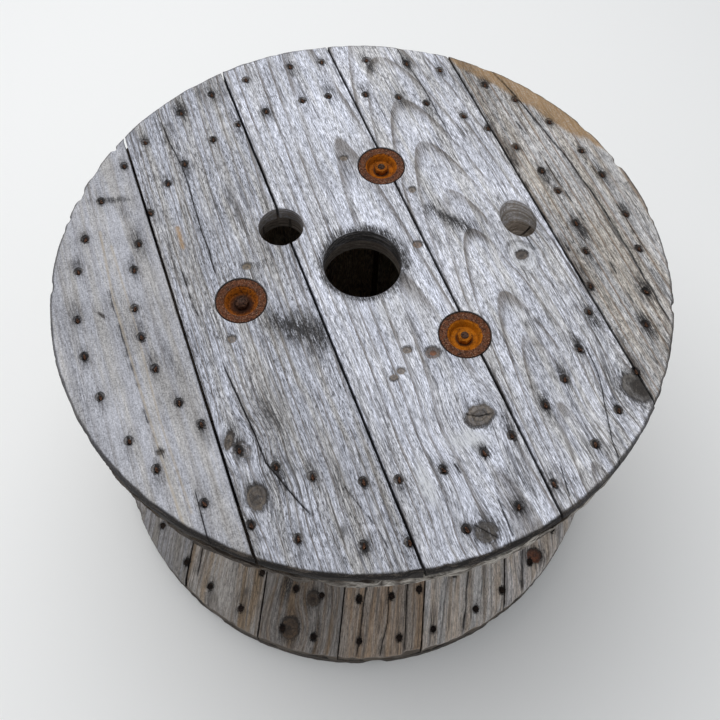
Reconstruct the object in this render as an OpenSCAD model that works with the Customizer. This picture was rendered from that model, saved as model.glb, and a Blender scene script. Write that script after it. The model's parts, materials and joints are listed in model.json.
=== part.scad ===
// Wooden cable drum, standing on its lower flange.
// The origin is the centre of the lower flange's outer face, and +Z is the spindle axis.

/* [Drum] */
// Diameter of both flanges
flange_d = 630; // [500:1:800]
// Height over both flanges
overall_h = 415; // [300:1:600]
// Diameter of the barrel over the corners of its staves
barrel_d = 310; // [250:1:380]
// Diameter of the centre bore that takes the spindle
bore_d = 80; // [60:1:100]

/* [Flange boards] */
// Thickness of the boards on the outside of a flange
outer_ply_t = 18; // [15:0.5:25]
// Thickness of the boards on the barrel side of a flange
inner_ply_t = 16; // [13:0.5:25]
// Distance from seam to seam across the outer boards
outer_board_pitch = 131; // [105:1:150]
// Distance from seam to seam across the inner boards
inner_board_pitch = 98.5; // [80:0.5:115]
// Open seam between two outer boards
outer_seam = 2.5; // [1:0.5:5]
// Open seam between two inner boards
inner_seam = 1.5; // [1:0.5:5]
// How far the outer boards are laid off the centre
outer_lay = 5; // [-15:0.5:15]
// How far the inner boards are laid off the centre
inner_lay = 8; // [-15:0.5:15]
// Direction of the grain on top of the drum, in degrees from +X
upper_grain = 110.4; // [0:0.1:180]
// Direction of the grain on the lower flange's inner face, in degrees from +X
lower_grain = 84; // [0:0.1:180]

/* [Barrel] */
// Thickness of a stave
stave_t = 16; // [12:0.5:20]
// Gap between two staves
stave_gap = 1.5; // [1:0.5:4]
// Direction of the first gap between staves, in degrees from +X
stave_phase = 79; // [0:1:360]
// Depth of the groove in each flange that the staves end in
groove_depth = 8; // [5:0.5:10]
// Side clearance of the staves in the groove
groove_clear = 0.4; // [0.2:0.1:1]

/* [Drive hole] */
// Diameter of the drive hole through each flange
drive_d = 47.5; // [35:0.5:55]
// Distance of the drive hole from the spindle axis
drive_r = 96.4; // [85:0.1:105]
// Direction of the drive hole, in degrees from +X
drive_angle = 152; // [120:1:170]

/* [Cable hole] */
// Diameter of the slanted hole for the cable's inner end
cable_hole_d = 37; // [25:1:45]
// Slant of the cable hole from the spindle axis, in degrees
cable_hole_slant = 42; // [0:1:50]
// Direction of the cable hole's mouth on the outer face, in degrees from +X
cable_hole_angle = 19.3; // [0:0.1:40]
// Wood left between the cable hole and the barrel
cable_hole_wall = 1.5; // [1:0.5:10]

/* [Tie rods] */
// Diameter of a tie rod
rod_d = 8; // [6:0.1:10]
// Direction of the first tie rod, in degrees from +X
rod_phase = 80.3; // [0:0.1:120]
// Clearance between a tie rod and the staves
rod_inset = 2; // [1:0.5:6]
// How far a rod's end lies below the flange's face
rod_end_sink = 1; // [0.5:0.1:2]
// Width of a nut across its flats
nut_af = 13; // [12:0.5:17]
// Height of a nut
nut_h = 6.5; // [5:0.1:7]
// Radial clearance of a rod in its nut
thread_clear = 0.1; // [0.05:0.05:0.2]
// Radial clearance of a rod in the wood and the washers
rod_clear = 0.5; // [0.3:0.1:1]

/* [Cup washers] */
// Outer diameter of a pressed cup washer
washer_d = 52; // [46:0.5:60]
// Diameter of its cup at the rim
cup_d = 33.5; // [28:0.5:38]
// Diameter of the cup's floor
cup_floor_d = 26; // [22:0.5:27]
// Depth of the cup below the rim
cup_depth = 8; // [6:0.5:9]
// Thickness of the washer's sheet
washer_t = 1.5; // [1:0.1:2]
// How far the rim's underside lies below the flange's face
rim_sink = 2; // [1.5:0.1:2.5]
// Radial clearance of a washer in its seat
washer_clear = 0.5; // [0.3:0.1:1]

/* [Nails] */
// Number of nails in a ring
nails_in_ring = 38; // [20:1:44]
// Diameter of a nail
nail_d = 3.4; // [2.8:0.1:4]
// Diameter of a nail's head
nail_head_d = 7; // [6:0.1:8]
// Radial clearance round a nail and its head
nail_clear = 0.1; // [0.05:0.05:0.3]
// Depth of the seat under a nail's head
head_seat = 1.5; // [1:0.1:2]
// How far heads and clinched points lie below the face
nail_sink = 0.3; // [0.1:0.1:0.5]
// Length of a nail's clinched point
clinch_len = 5.5; // [4:0.5:7]
// Width of a nail's clinched point
clinch_w = 2.4; // [2:0.1:3]
// Diameter of the pit that a clinched point lies in
pit_d = 9.5; // [8:0.5:12]
// Depth of that pit
pit_depth = 1.6; // [1:0.1:2]
// Greatest wander of a nail from its even place, in degrees
nail_wander = 1; // [0:0.1:1.5]
// Wood left between a nail and the cable hole
nail_margin = 4; // [2:0.5:10]
// Direction of the upper flange's first nails, in degrees from +X
upper_nail_phase = 3.6; // [0:0.1:9]
// Direction of the lower flange's first nails, in degrees from +X
lower_nail_phase = 4.4; // [0:0.1:9]
// Distance of the upper flange's outer ring from its rim
upper_rim_ring = 27; // [15:1:40]
// Distance of the upper flange's inner ring from its rim
upper_mid_ring = 83; // [60:1:90]
// Distance of the lower flange's outer ring from its rim
lower_rim_ring = 20; // [15:1:40]
// Distance of the lower flange's inner ring from its rim
lower_mid_ring = 69; // [60:1:90]

/* [Hidden] */
$fn = 96;
spare = 1;
upper = 0;
lower = 1;
outer_boards = 5;
inner_boards = 6;
staves = 14;
rods = 3;
half_turn_share = 180 / staves;
grey_wood = [0.62, 0.6, 0.57];
brown_wood = [0.52, 0.45, 0.37];
rusty_steel = [0.45, 0.27, 0.17];
dark_rust = [0.25, 0.16, 0.12];

flange_r = flange_d / 2;
flange_t = outer_ply_t + inner_ply_t;
barrel_r = barrel_d / 2;
stave_out = barrel_r * cos(half_turn_share);
stave_in = stave_out - stave_t;
stave_len = overall_h - 2 * flange_t + 2 * groove_depth;
rod_r = stave_in - rod_inset - rod_d / 2;
rod_hole_r = rod_d / 2 + rod_clear;
rod_len = overall_h - 2 * rod_end_sink;
cable_hole_r = barrel_r + cable_hole_wall + cable_hole_d / 2;
cable_hole_drift = flange_t * tan(cable_hole_slant);
pit_shift = (clinch_len - nail_d / 2) / 2;

outer_grain = [upper_grain, lower_grain - 90];
inner_grain = [upper_grain - 90, lower_grain];
nail_phase = [upper_nail_phase, lower_nail_phase];
rim_ring_r = [flange_r - upper_rim_ring, flange_r - lower_rim_ring];
mid_ring_r = [flange_r - upper_mid_ring, flange_r - lower_mid_ring];

// Places.
// A flange is drawn with its barrel side at z = 0 and its outer face at z = flange_t.
module on_flange(side) {
    if (side == upper)
        translate([0, 0, overall_h - flange_t]) children();
    else
        translate([0, 0, flange_t]) mirror([0, 0, 1]) children();
}

module at_rod(k) {
    angle = rod_phase + (k - 1) * 360 / rods;
    translate([rod_r * cos(angle), rod_r * sin(angle), 0]) children();
}

function seam_at(k, count, pitch, lay) = lay + pitch * (k - count / 2);

function on_circle(r, angle) = [r * cos(angle), r * sin(angle)];

// Middle of the cable hole at a height above the flange's barrel side.
function cable_hole_at(z) =
    on_circle(cable_hole_r, cable_hole_angle)
    + cable_hole_drift * (1 - z / flange_t) * [sin(cable_hole_angle), -cos(cable_hole_angle)];

function misses_cable_hole(side, p) =
    side == lower
    || min(norm(p - cable_hole_at(0)), norm(p - cable_hole_at(flange_t / 2)), norm(p - cable_hole_at(flange_t)))
       > cable_hole_d / 2 / cos(cable_hole_slant) + nail_d + nail_margin;

function nail_angle(side, k) =
    nail_phase[side] + k * 360 / nails_in_ring + nail_wander * sin(k * 222 + 60 * side);

function nail_ring(side, r) = [
    for (k = [0:nails_in_ring - 1])
        let (p = on_circle(r, nail_angle(side, k)))
            if (misses_cable_hole(side, p)) p
];

function all_nails(side) = concat(nail_ring(side, rim_ring_r[side]), nail_ring(side, mid_ring_r[side]));

// Nails whose holes or pits reach the strip from low to high across the grain.
function nails_in_strip(side, low, high, grain) = [
    for (p = all_nails(side))
        let (off = p * on_circle(1, grain - 90))
            if (off > low - pit_d && off < high + pit_d) p
];

// Cuts shared by the boards of both plies.
module flange_holes(side) {
    translate([0, 0, -spare])
        cylinder(h = flange_t + 2 * spare, d = bore_d);
    rotate(drive_angle)
        translate([drive_r, 0, -spare])
            cylinder(h = flange_t + 2 * spare, d = drive_d);
    for (k = [1:rods])
        at_rod(k)
            translate([0, 0, -spare])
                cylinder(h = flange_t + 2 * spare, r = rod_hole_r);
    if (side == upper)
        cable_hole();
}

module cable_hole() {
    mouth = on_circle(cable_hole_r, cable_hole_angle);
    reach = flange_t / cos(cable_hole_slant) + cable_hole_d;
    translate([mouth[0], mouth[1], flange_t])
        rotate([0, 0, cable_hole_angle - 90])
            rotate([0, -cable_hole_slant, 0])
                translate([0, 0, -reach])
                    cylinder(h = reach + cable_hole_d, d = cable_hole_d);
}

module nail_shank_holes(points) {
    for (p = points)
        translate([p[0], p[1], -spare])
            cylinder(h = flange_t + 2 * spare, r = nail_d / 2 + nail_clear, $fn = 24);
}

module nail_head_seats(points) {
    for (p = points)
        translate([p[0], p[1], -spare])
            cylinder(h = spare + head_seat, r = nail_head_d / 2 + nail_clear, $fn = 32);
}

module clinch_pits(points, grain) {
    for (p = points)
        translate([p[0], p[1], flange_t - pit_depth])
            rotate(grain)
                translate([pit_shift, 0, 0])
                    cylinder(h = pit_depth + spare, d = pit_d, $fn = 32);
}

module washer_seats() {
    for (k = [1:rods])
        at_rod(k) {
            translate([0, 0, flange_t - rim_sink])
                cylinder(h = rim_sink + spare, r = washer_d / 2 + washer_clear);
            translate([0, 0, flange_t - rim_sink - cup_depth])
                cylinder(h = cup_depth + spare, r = cup_d / 2 + washer_clear);
        }
}

module barrel_groove() {
    translate([0, 0, -spare])
        difference() {
            cylinder(h = spare + groove_depth, r = barrel_r + groove_clear);
            translate([0, 0, -spare])
                cylinder(h = 3 * spare + groove_depth, r = stave_in - groove_clear);
        }
}

// One board's outline: a strip of the round flange, from low to high across the grain.
module strip(low, high, grain) {
    intersection() {
        circle(d = flange_d, $fn = 180);
        rotate(grain - 90)
            translate([low, -flange_d])
                square([high - low, 2 * flange_d]);
    }
}

module outer_board(side, k) {
    grain = outer_grain[side];
    low = k == 1
        ? -flange_d
        : seam_at(k - 1, outer_boards, outer_board_pitch, outer_lay) + outer_seam / 2;
    high = k == outer_boards
        ? flange_d
        : seam_at(k, outer_boards, outer_board_pitch, outer_lay) - outer_seam / 2;
    nails = nails_in_strip(side, low, high, grain);
    color(grey_wood)
        on_flange(side)
            difference() {
                translate([0, 0, inner_ply_t])
                    linear_extrude(outer_ply_t)
                        strip(low, high, grain);
                flange_holes(side);
                washer_seats();
                nail_shank_holes(nails);
                clinch_pits(nails, grain);
            }
}

module inner_board(side, k) {
    grain = inner_grain[side];
    low = k == 1
        ? -flange_d
        : seam_at(k - 1, inner_boards, inner_board_pitch, inner_lay) + inner_seam / 2;
    high = k == inner_boards
        ? flange_d
        : seam_at(k, inner_boards, inner_board_pitch, inner_lay) - inner_seam / 2;
    nails = nails_in_strip(side, low, high, grain);
    color(brown_wood)
        on_flange(side)
            difference() {
                linear_extrude(inner_ply_t)
                    strip(low, high, grain);
                flange_holes(side);
                barrel_groove();
                nail_shank_holes(nails);
                nail_head_seats(nails);
            }
}

// A flat stave with bevelled edges, its ends on the floors of both grooves.
module stave(k) {
    half_in = stave_in * tan(half_turn_share) - stave_gap / 2;
    half_out = stave_out * tan(half_turn_share) - stave_gap / 2;
    color(brown_wood)
        translate([0, 0, flange_t - groove_depth])
            rotate(stave_phase + (2 * k - 1) * half_turn_share)
                linear_extrude(stave_len)
                    polygon([
                        [stave_in, -half_in],
                        [stave_out, -half_out],
                        [stave_out, half_out],
                        [stave_in, half_in]
                    ]);
}

module tie_rod(k) {
    color(rusty_steel)
        at_rod(k)
            translate([0, 0, rod_end_sink])
                cylinder(h = rod_len, d = rod_d, $fn = 48);
}

// A pressed cup washer: its rim lies on the wood and its cup stands on the pocket's floor.
module cup_washer(side, k) {
    color(rusty_steel)
        on_flange(side)
            at_rod(k)
                translate([0, 0, flange_t - rim_sink])
                    rotate_extrude()
                        polygon([
                            [rod_hole_r, -cup_depth],
                            [cup_floor_d / 2, -cup_depth],
                            [cup_d / 2, 0],
                            [washer_d / 2, 0],
                            [washer_d / 2, washer_t],
                            [cup_d / 2 - washer_t, washer_t],
                            [cup_floor_d / 2 - washer_t, washer_t - cup_depth],
                            [rod_hole_r, washer_t - cup_depth]
                        ]);
}

module nut(side, k) {
    color(dark_rust)
        on_flange(side)
            at_rod(k)
                translate([0, 0, flange_t - rim_sink - cup_depth + washer_t])
                    rotate(30 * k)
                        difference() {
                            cylinder(h = nut_h, r = nut_af / 2 / cos(30), $fn = 6);
                            translate([0, 0, -spare])
                                cylinder(h = nut_h + 2 * spare, r = rod_d / 2 + thread_clear, $fn = 48);
                        }
}

// A nail: its head in a seat on the barrel side, its point clinched along the outer grain.
module nail(grain) {
    translate([0, 0, nail_sink])
        cylinder(h = head_seat - nail_sink, d = nail_head_d, $fn = 32);
    translate([0, 0, nail_sink])
        cylinder(h = flange_t - 2 * nail_sink, d = nail_d, $fn = 24);
    rotate(grain)
        translate([0, -clinch_w / 2, flange_t - pit_depth])
            cube([clinch_len, clinch_w, pit_depth - nail_sink]);
}

module nails(side, r) {
    color(dark_rust)
        on_flange(side)
            for (p = nail_ring(side, r))
                translate([p[0], p[1], 0])
                    nail(outer_grain[side]);
}

for (k = [1:outer_boards]) {
    outer_board(upper, k);
    outer_board(lower, k);
}
for (k = [1:inner_boards]) {
    inner_board(upper, k);
    inner_board(lower, k);
}
for (k = [1:staves])
    stave(k);
for (k = [1:rods]) {
    tie_rod(k);
    cup_washer(upper, k);
    cup_washer(lower, k);
    nut(upper, k);
    nut(lower, k);
}
nails(upper, rim_ring_r[upper]);  // upper_rim_nails
nails(upper, mid_ring_r[upper]);  // upper_mid_nails
nails(lower, rim_ring_r[lower]);  // lower_rim_nails
nails(lower, mid_ring_r[lower]);  // lower_mid_nails
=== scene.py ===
import json
from math import cos, pi, radians, sin

import bmesh
import bpy
import numpy as np
from mathutils import Matrix, Vector


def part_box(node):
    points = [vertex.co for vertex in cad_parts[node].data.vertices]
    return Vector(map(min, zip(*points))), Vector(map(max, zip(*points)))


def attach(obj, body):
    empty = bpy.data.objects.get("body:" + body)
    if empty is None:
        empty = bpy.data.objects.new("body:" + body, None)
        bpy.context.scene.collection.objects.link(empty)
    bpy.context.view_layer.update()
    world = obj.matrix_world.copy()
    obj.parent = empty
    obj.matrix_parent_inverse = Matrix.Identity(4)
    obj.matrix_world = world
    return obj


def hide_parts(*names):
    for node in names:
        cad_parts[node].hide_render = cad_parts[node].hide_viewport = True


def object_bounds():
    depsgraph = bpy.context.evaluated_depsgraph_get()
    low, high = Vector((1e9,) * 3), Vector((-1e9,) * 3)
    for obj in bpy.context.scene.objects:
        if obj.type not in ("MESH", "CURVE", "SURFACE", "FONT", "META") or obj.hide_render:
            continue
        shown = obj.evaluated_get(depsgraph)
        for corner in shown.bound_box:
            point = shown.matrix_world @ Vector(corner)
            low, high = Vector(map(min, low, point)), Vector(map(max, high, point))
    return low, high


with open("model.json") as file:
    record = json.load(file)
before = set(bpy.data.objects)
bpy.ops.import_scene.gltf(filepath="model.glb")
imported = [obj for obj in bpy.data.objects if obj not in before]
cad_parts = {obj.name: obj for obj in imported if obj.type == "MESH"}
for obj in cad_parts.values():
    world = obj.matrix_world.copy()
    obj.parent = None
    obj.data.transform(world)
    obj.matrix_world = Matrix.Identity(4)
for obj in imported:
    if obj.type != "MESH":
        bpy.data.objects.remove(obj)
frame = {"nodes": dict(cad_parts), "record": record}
cadLow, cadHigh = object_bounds()

mm = 0.001
sharpAngle = 48      # degrees between faces, from which an edge stays sharp
mounts = {m["name"]: m for m in frame["record"]["mounts"]}
drumRadius = (cadHigh.x - cadLow.x) / 2 / mm
boreRadius = mounts["upper_bore"]["dims"]["r_mm"]
upZ = Vector((0, 0, 1))
grainTurns = dict(top=110.4, underTop=20.4, lower=84.0, floor=-6.0)     # degrees from x, one for each face

# camera, floor and light
cameraSetup = dict(
    place=(-19.0, -502.8, 1192.7),      # mm, beside and above the drum
    forward=(0.0099, 0.5395, -0.8419),
    right=(0.99995, -0.0024, 0.0102),
    lens=45.285,
    shift=(0.010, -0.130))

lightSetup = dict(
    sky=(0.93, 0.96, 1.0), skyStrength=0.47,
    softboxSize=2.6, softboxHeight=2.3, softboxPower=40,
    softboxOffset=(-0.5, 0.7),
    fillSize=1.6, fillPower=5, fillPlace=(0.4, -2.2, 0.9),
    floorColour=(0.90, 0.90, 0.89), floorShade=0.985, floorSize=9.0)


def makeCamera(setup):
    forward = Vector(setup["forward"]).normalized()
    right = Vector(setup["right"])
    right = (right - forward * right.dot(forward)).normalized()
    up = right.cross(forward)
    data = bpy.data.cameras.new("drumCamera")
    data.lens = setup["lens"]
    data.sensor_width = 36
    data.shift_x, data.shift_y = setup["shift"]
    camera = bpy.data.objects.new("drumCamera", data)
    turn = Matrix((right, up, -forward)).transposed()
    camera.matrix_world = Matrix.Translation(Vector(setup["place"]) * mm) @ turn.to_4x4()
    bpy.context.scene.collection.objects.link(camera)
    bpy.context.scene.camera = camera


makeCamera(cameraSetup)


def addSoftbox(name, size, power, place, target):
    data = bpy.data.lights.new(name, "AREA")
    data.shape = "DISK"
    data.size = size
    data.energy = power
    lamp = bpy.data.objects.new(name, data)
    lamp.location = place
    lamp.rotation_euler = (target - place).to_track_quat("-Z", "Y").to_euler()
    bpy.context.scene.collection.objects.link(lamp)


def addObject(name, mesh):
    piece = bpy.data.objects.new(name, mesh)
    bpy.context.scene.collection.objects.link(piece)
    return piece


def meshFrom(bm, name):
    mesh = bpy.data.meshes.new(name)
    bm.to_mesh(mesh)
    bm.free()
    return mesh


def meshPoints(mesh):
    flat = np.zeros(len(mesh.vertices) * 3, np.float32)
    mesh.vertices.foreach_get("co", flat)
    return flat.reshape(-1, 3).astype(float).T


def movePoints(mesh, x, y, z):
    mesh.vertices.foreach_set("co", np.stack([x, y, z], axis=1).astype(np.float32).ravel())


# the mesh goes back to its place in the drum and stands for its node from here on
def finishPiece(node, ending, mesh, toLocal, material):
    mesh.transform(toLocal.inverted())
    mesh.polygons.foreach_set("use_smooth", np.ones(len(mesh.polygons), bool))
    mesh.set_sharp_from_angle(angle=radians(sharpAngle))
    mesh.update()
    mesh.materials.append(material)
    piece = addObject(node + ending, mesh)
    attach(piece, "root")
    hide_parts(node)


# shader helpers: each adds one node and gives back its output
def feed(tree, socket, value):
    if isinstance(value, bpy.types.NodeSocket):
        tree.links.new(value, socket)
    elif value is not None:
        socket.default_value = (*value, 1.0) if socket.type == "RGBA" else value


def calc(tree, operation, a, b=None, clamp=False):
    node = tree.nodes.new("ShaderNodeMath")
    node.operation = operation
    node.use_clamp = clamp
    feed(tree, node.inputs[0], a)
    feed(tree, node.inputs[1], b)
    return node.outputs[0]


def times(tree, a, b, clamp=False):
    return calc(tree, "MULTIPLY", a, b, clamp)


def plus(tree, a, b, clamp=False):
    return calc(tree, "ADD", a, b, clamp)


def minus(tree, a, b):
    return calc(tree, "SUBTRACT", a, b)


def swing(tree, noise, amount):              # noise about nought instead of a half
    return times(tree, minus(tree, noise, 0.5), amount)


def stretch(tree, vector, scale):
    node = tree.nodes.new("ShaderNodeVectorMath")
    node.operation = "MULTIPLY"
    feed(tree, node.inputs[0], vector)
    feed(tree, node.inputs[1], (scale,) * 3 if isinstance(scale, float) else scale)
    return node.outputs[0]


def speckle(tree, vector, scale, detail=2.0, roughness=0.55):
    node = tree.nodes.new("ShaderNodeTexNoise")
    feed(tree, node.inputs["Vector"], stretch(tree, vector, scale))
    feed(tree, node.inputs["Scale"], 1.0)
    feed(tree, node.inputs["Detail"], detail)
    feed(tree, node.inputs["Roughness"], roughness)
    return node.outputs["Fac"]


def between(tree, value, low, high, start=0.0, end=1.0):
    node = tree.nodes.new("ShaderNodeMapRange")
    node.interpolation_type = "SMOOTHSTEP"
    for label, item in zip(("Value", "From Min", "From Max", "To Min", "To Max"),
                           (value, low, high, start, end)):
        feed(tree, node.inputs[label], item)
    return node.outputs["Result"]


def tint(tree, share, a, b, mode="MIX"):
    node = tree.nodes.new("ShaderNodeMix")
    node.data_type = "RGBA"
    node.blend_type = mode
    feed(tree, node.inputs[0], share)
    feed(tree, node.inputs[6], a)
    feed(tree, node.inputs[7], b)
    return node.outputs[2]


def attribute(tree, name, output="Vector"):
    node = tree.nodes.new("ShaderNodeAttribute")
    node.attribute_name = name
    return node.outputs[output]


def parts(tree, vector):
    node = tree.nodes.new("ShaderNodeSeparateXYZ")
    feed(tree, node.inputs[0], vector)
    return node.outputs


def objectPlace(tree):
    node = tree.nodes.new("ShaderNodeTexCoord")
    return stretch(tree, node.outputs["Object"], 1 / mm)


# an input is given by its kind, or by a starting value: a number or a colour
def newGroup(name, inputs, outputs):
    group = bpy.data.node_groups.new(name, "ShaderNodeTree")
    for label, value in inputs.items():
        kind = value if isinstance(value, str) else "Color" if isinstance(value, tuple) else "Float"
        socket = group.interface.new_socket(label, in_out="INPUT", socket_type="NodeSocket" + kind)
        if kind != value:
            socket.default_value = (*value, 1.0) if kind == "Color" else value
    for label, kind in outputs.items():
        group.interface.new_socket(label, in_out="OUTPUT", socket_type="NodeSocket" + kind)
    source = group.nodes.new("NodeGroupInput").outputs
    result = group.nodes.new("NodeGroupOutput").inputs
    return group, source, result


# each value goes to the socket of its name, and a look's value to the socket of its name with a capital
def useGroup(tree, group, look=None, **values):
    node = tree.nodes.new("ShaderNodeGroup")
    node.node_tree = group
    for key, value in (look or {}).items():
        label = key[0].upper() + key[1:]
        if label in node.inputs:
            feed(tree, node.inputs[label], value)
    for label, value in values.items():
        feed(tree, node.inputs[label], value)
    return node.outputs


# weathered grain: ring lines, long bands, fibres and dark pores, all drawn along the board's own grain
def makeGrainGroup():
    tree, source, result = newGroup("weatheredGrain", dict(
        Grain="Vector", Place="Vector", Silver=(0.4, 0.42, 0.47), Warm=(0.38, 0.35, 0.3),
        Line=(0.2, 0.17, 0.14), Dark=(0.05, 0.048, 0.05), Spacing=4.0, LineShare=0.5, BandShare=0.6,
        PoreShare=0.6, Fuzz=0.2, Low=0.6, High=1.3, Calm=0.0),
        dict(Color="Color", Rough="Float", Height="Float", Fibre="Float"))
    ring, along, across = parts(tree, source["Grain"])
    flow = tree.nodes.new("ShaderNodeCombineXYZ")
    feed(tree, flow.inputs[0], across)
    feed(tree, flow.inputs[1], along)
    flow = flow.outputs[0]
    phase = calc(tree, "DIVIDE", ring, source["Spacing"])
    tooth = calc(tree, "FRACT", plus(tree, phase, 0.7))
    late = times(tree, between(tree, tooth, 0.6, 0.93), between(tree, tooth, 0.95, 1.0, 1.0, 0.0))
    fading = between(tree, speckle(tree, source["Grain"], (0.11, 0.012, 0.05), 2), 0.34, 0.6, 0.35, 1.0)
    late = times(tree, late, fading)
    band = between(tree, speckle(tree, flow, (0.085, 0.0055, 1), 4, 0.6), 0.42, 0.62)
    fibre = speckle(tree, flow, (0.4, 0.02, 1), 5, 0.75)
    streak = speckle(tree, flow, (0.8, 0.085, 1), 3, 0.85)
    fine = speckle(tree, flow, (0.95, 0.17, 1), 2, 0.75)
    patch = speckle(tree, source["Place"], 0.014, 3, 0.55)
    grit = speckle(tree, source["Place"], 0.6, 2, 0.7)
    colour = tint(tree, times(tree, band, source["BandShare"]), source["Silver"], source["Warm"])
    shade = between(tree, fibre, 0.3, 0.68, 0.82, 1.14)
    shade = plus(tree, shade, times(tree, source["Calm"], minus(tree, 1.0, shade)))
    shade = times(tree, shade, between(tree, streak, 0.34, 0.66, source["Low"], source["High"]))
    shade = times(tree, shade, between(tree, patch, 0.3, 0.7, 0.84, 1.12))
    fuzz = swing(tree, grit, source["Fuzz"])
    shade = plus(tree, shade, fuzz)
    shadeColour = tree.nodes.new("ShaderNodeCombineColor")
    for channel in shadeColour.inputs:
        feed(tree, channel, shade)
    colour = tint(tree, 1.0, colour, shadeColour.outputs[0], "MULTIPLY")
    colour = tint(tree, times(tree, late, source["LineShare"]), colour, source["Line"])
    poreMask = between(tree, fine, 0.54, 0.6)
    poreZone = between(tree, speckle(tree, flow, (0.06, 0.01, 1), 2), 0.35, 0.6, 0.4, 1.0)
    pores = times(tree, times(tree, poreMask, poreZone), source["PoreShare"])
    colour = tint(tree, pores, colour, source["Dark"])
    hair = calc(tree, "ABSOLUTE", minus(tree, speckle(tree, flow, (0.25, 0.008, 1), 1), 0.5))
    hairZone = between(tree, speckle(tree, flow, (0.07, 0.014, 1), 3), 0.44, 0.58)
    hair = times(tree, between(tree, hair, 0.008, 0.04, 1.0, 0.0), hairZone)
    colour = tint(tree, times(tree, times(tree, hair, 0.85), source["LineShare"]), colour, source["Dark"])
    height = plus(tree, times(tree, fibre, 0.7), times(tree, late, 0.35))
    height = minus(tree, height, times(tree, pores, 0.6))
    height = plus(tree, height, times(tree, fuzz, 0.5))
    feed(tree, result["Color"], colour)
    feed(tree, result["Rough"], between(tree, fibre, 0.2, 0.8, 0.95, 0.72))
    feed(tree, result["Height"], height)
    feed(tree, result["Fibre"], times(tree, streak, plus(tree, fibre, 0.5)))
    return tree


# what time did to the boards: stains along the fibres, torn, fresh and pale wood, and dark edges of worn end
# grain and painted wall shade
def makeAgeGroup():
    tree, source, result = newGroup("boardAge", dict(
        Color="Color", Fibre=0.5, Marks="Vector", Wear="Vector", Place="Vector", Torn=(0.13, 0.1, 0.08),
        Stain=(0.05, 0.048, 0.05), Edge=(0.05, 0.046, 0.045), Layer=(0.12, 0.105, 0.09),
        Fresh=(0.42, 0.27, 0.13), Pale=(0.6, 0.61, 0.63)),
        dict(Color="Color"))
    torn, stain = parts(tree, source["Marks"])[1:3]
    edge, fresh, pale = parts(tree, source["Wear"])
    mottle = speckle(tree, source["Place"], 0.42, 4, 0.65)
    grit = speckle(tree, source["Place"], 0.9, 2, 0.6)
    uneven = plus(tree, swing(tree, mottle, 1.8), swing(tree, source["Fibre"], -3.6))
    paleMask = times(tree, pale, minus(tree, 0.85, uneven), clamp=True)
    freshShade = tint(tree, between(tree, plus(tree, mottle, grit), 0.95, 1.3, 0.0, 0.5), source["Fresh"],
                      source["Color"])
    freshShade = tint(tree, between(tree, grit, 0.3, 0.42, 0.55, 0.0), freshShade, source["Torn"])
    colour = tint(tree, fresh, source["Color"], freshShade)
    tornMask = times(tree, torn, between(tree, mottle, 0.25, 0.7, 1.0, 0.4))
    colour = tint(tree, tornMask, colour, source["Torn"])
    stainMask = times(tree, stain, plus(tree, 1.1, uneven))
    colour = tint(tree, between(tree, stainMask, -0.25, 1.15, -0.1, 0.95), colour, source["Stain"])
    layer = speckle(tree, source["Place"], (0.045, 0.045, 0.75), 4, 0.7)
    layer = between(tree, plus(tree, layer, swing(tree, grit, 0.5)), 0.5, 0.64)
    # the edge colour: dark end grain on the rim and in the bore and holes, and painted shade down the walls
    # of the seams, the bore and the holes
    colour = tint(tree, edge, colour, tint(tree, layer, source["Edge"], source["Layer"]))
    colour = tint(tree, paleMask, colour, source["Pale"])
    feed(tree, result["Color"], colour)
    return tree


# the dark ragged pits round the nails, part rust and part painted shade, and the painted shade inside the
# cracks
def makeGapShadeGroup():
    tree, source, result = newGroup("paintedGapShade", dict(
        Color="Color", Marks="Vector", Nail="Vector", Place="Vector", PitSize=3.0,
        Gap=(0.008, 0.007, 0.007)),
        dict(Color="Color"))
    mottle = speckle(tree, source["Place"], 0.42, 4, 0.65)
    broad = speckle(tree, source["Place"], 0.035, 1)
    aside, ahead, near = parts(tree, source["Nail"])
    reach = calc(tree, "SQRT", plus(tree, times(tree, aside, aside),
                                    times(tree, times(tree, ahead, ahead), 0.42)))
    reach = plus(tree, reach, swing(tree, mottle, 8.0))
    reach = plus(tree, reach, swing(tree, broad, 3.0))
    outer = plus(tree, source["PitSize"], 1.2)
    pit = times(tree, between(tree, reach, minus(tree, source["PitSize"], 0.8), outer, 1.0, 0.0), near)
    # the nail pits are painted near black, part rust and part painted shade, and the cracks' insides with
    # painted shade
    colour = tint(tree, times(tree, pit, 0.94), source["Color"], source["Gap"])
    colour = tint(tree, parts(tree, source["Marks"])[0], colour, source["Gap"])
    feed(tree, result["Color"], colour)
    return tree
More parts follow.
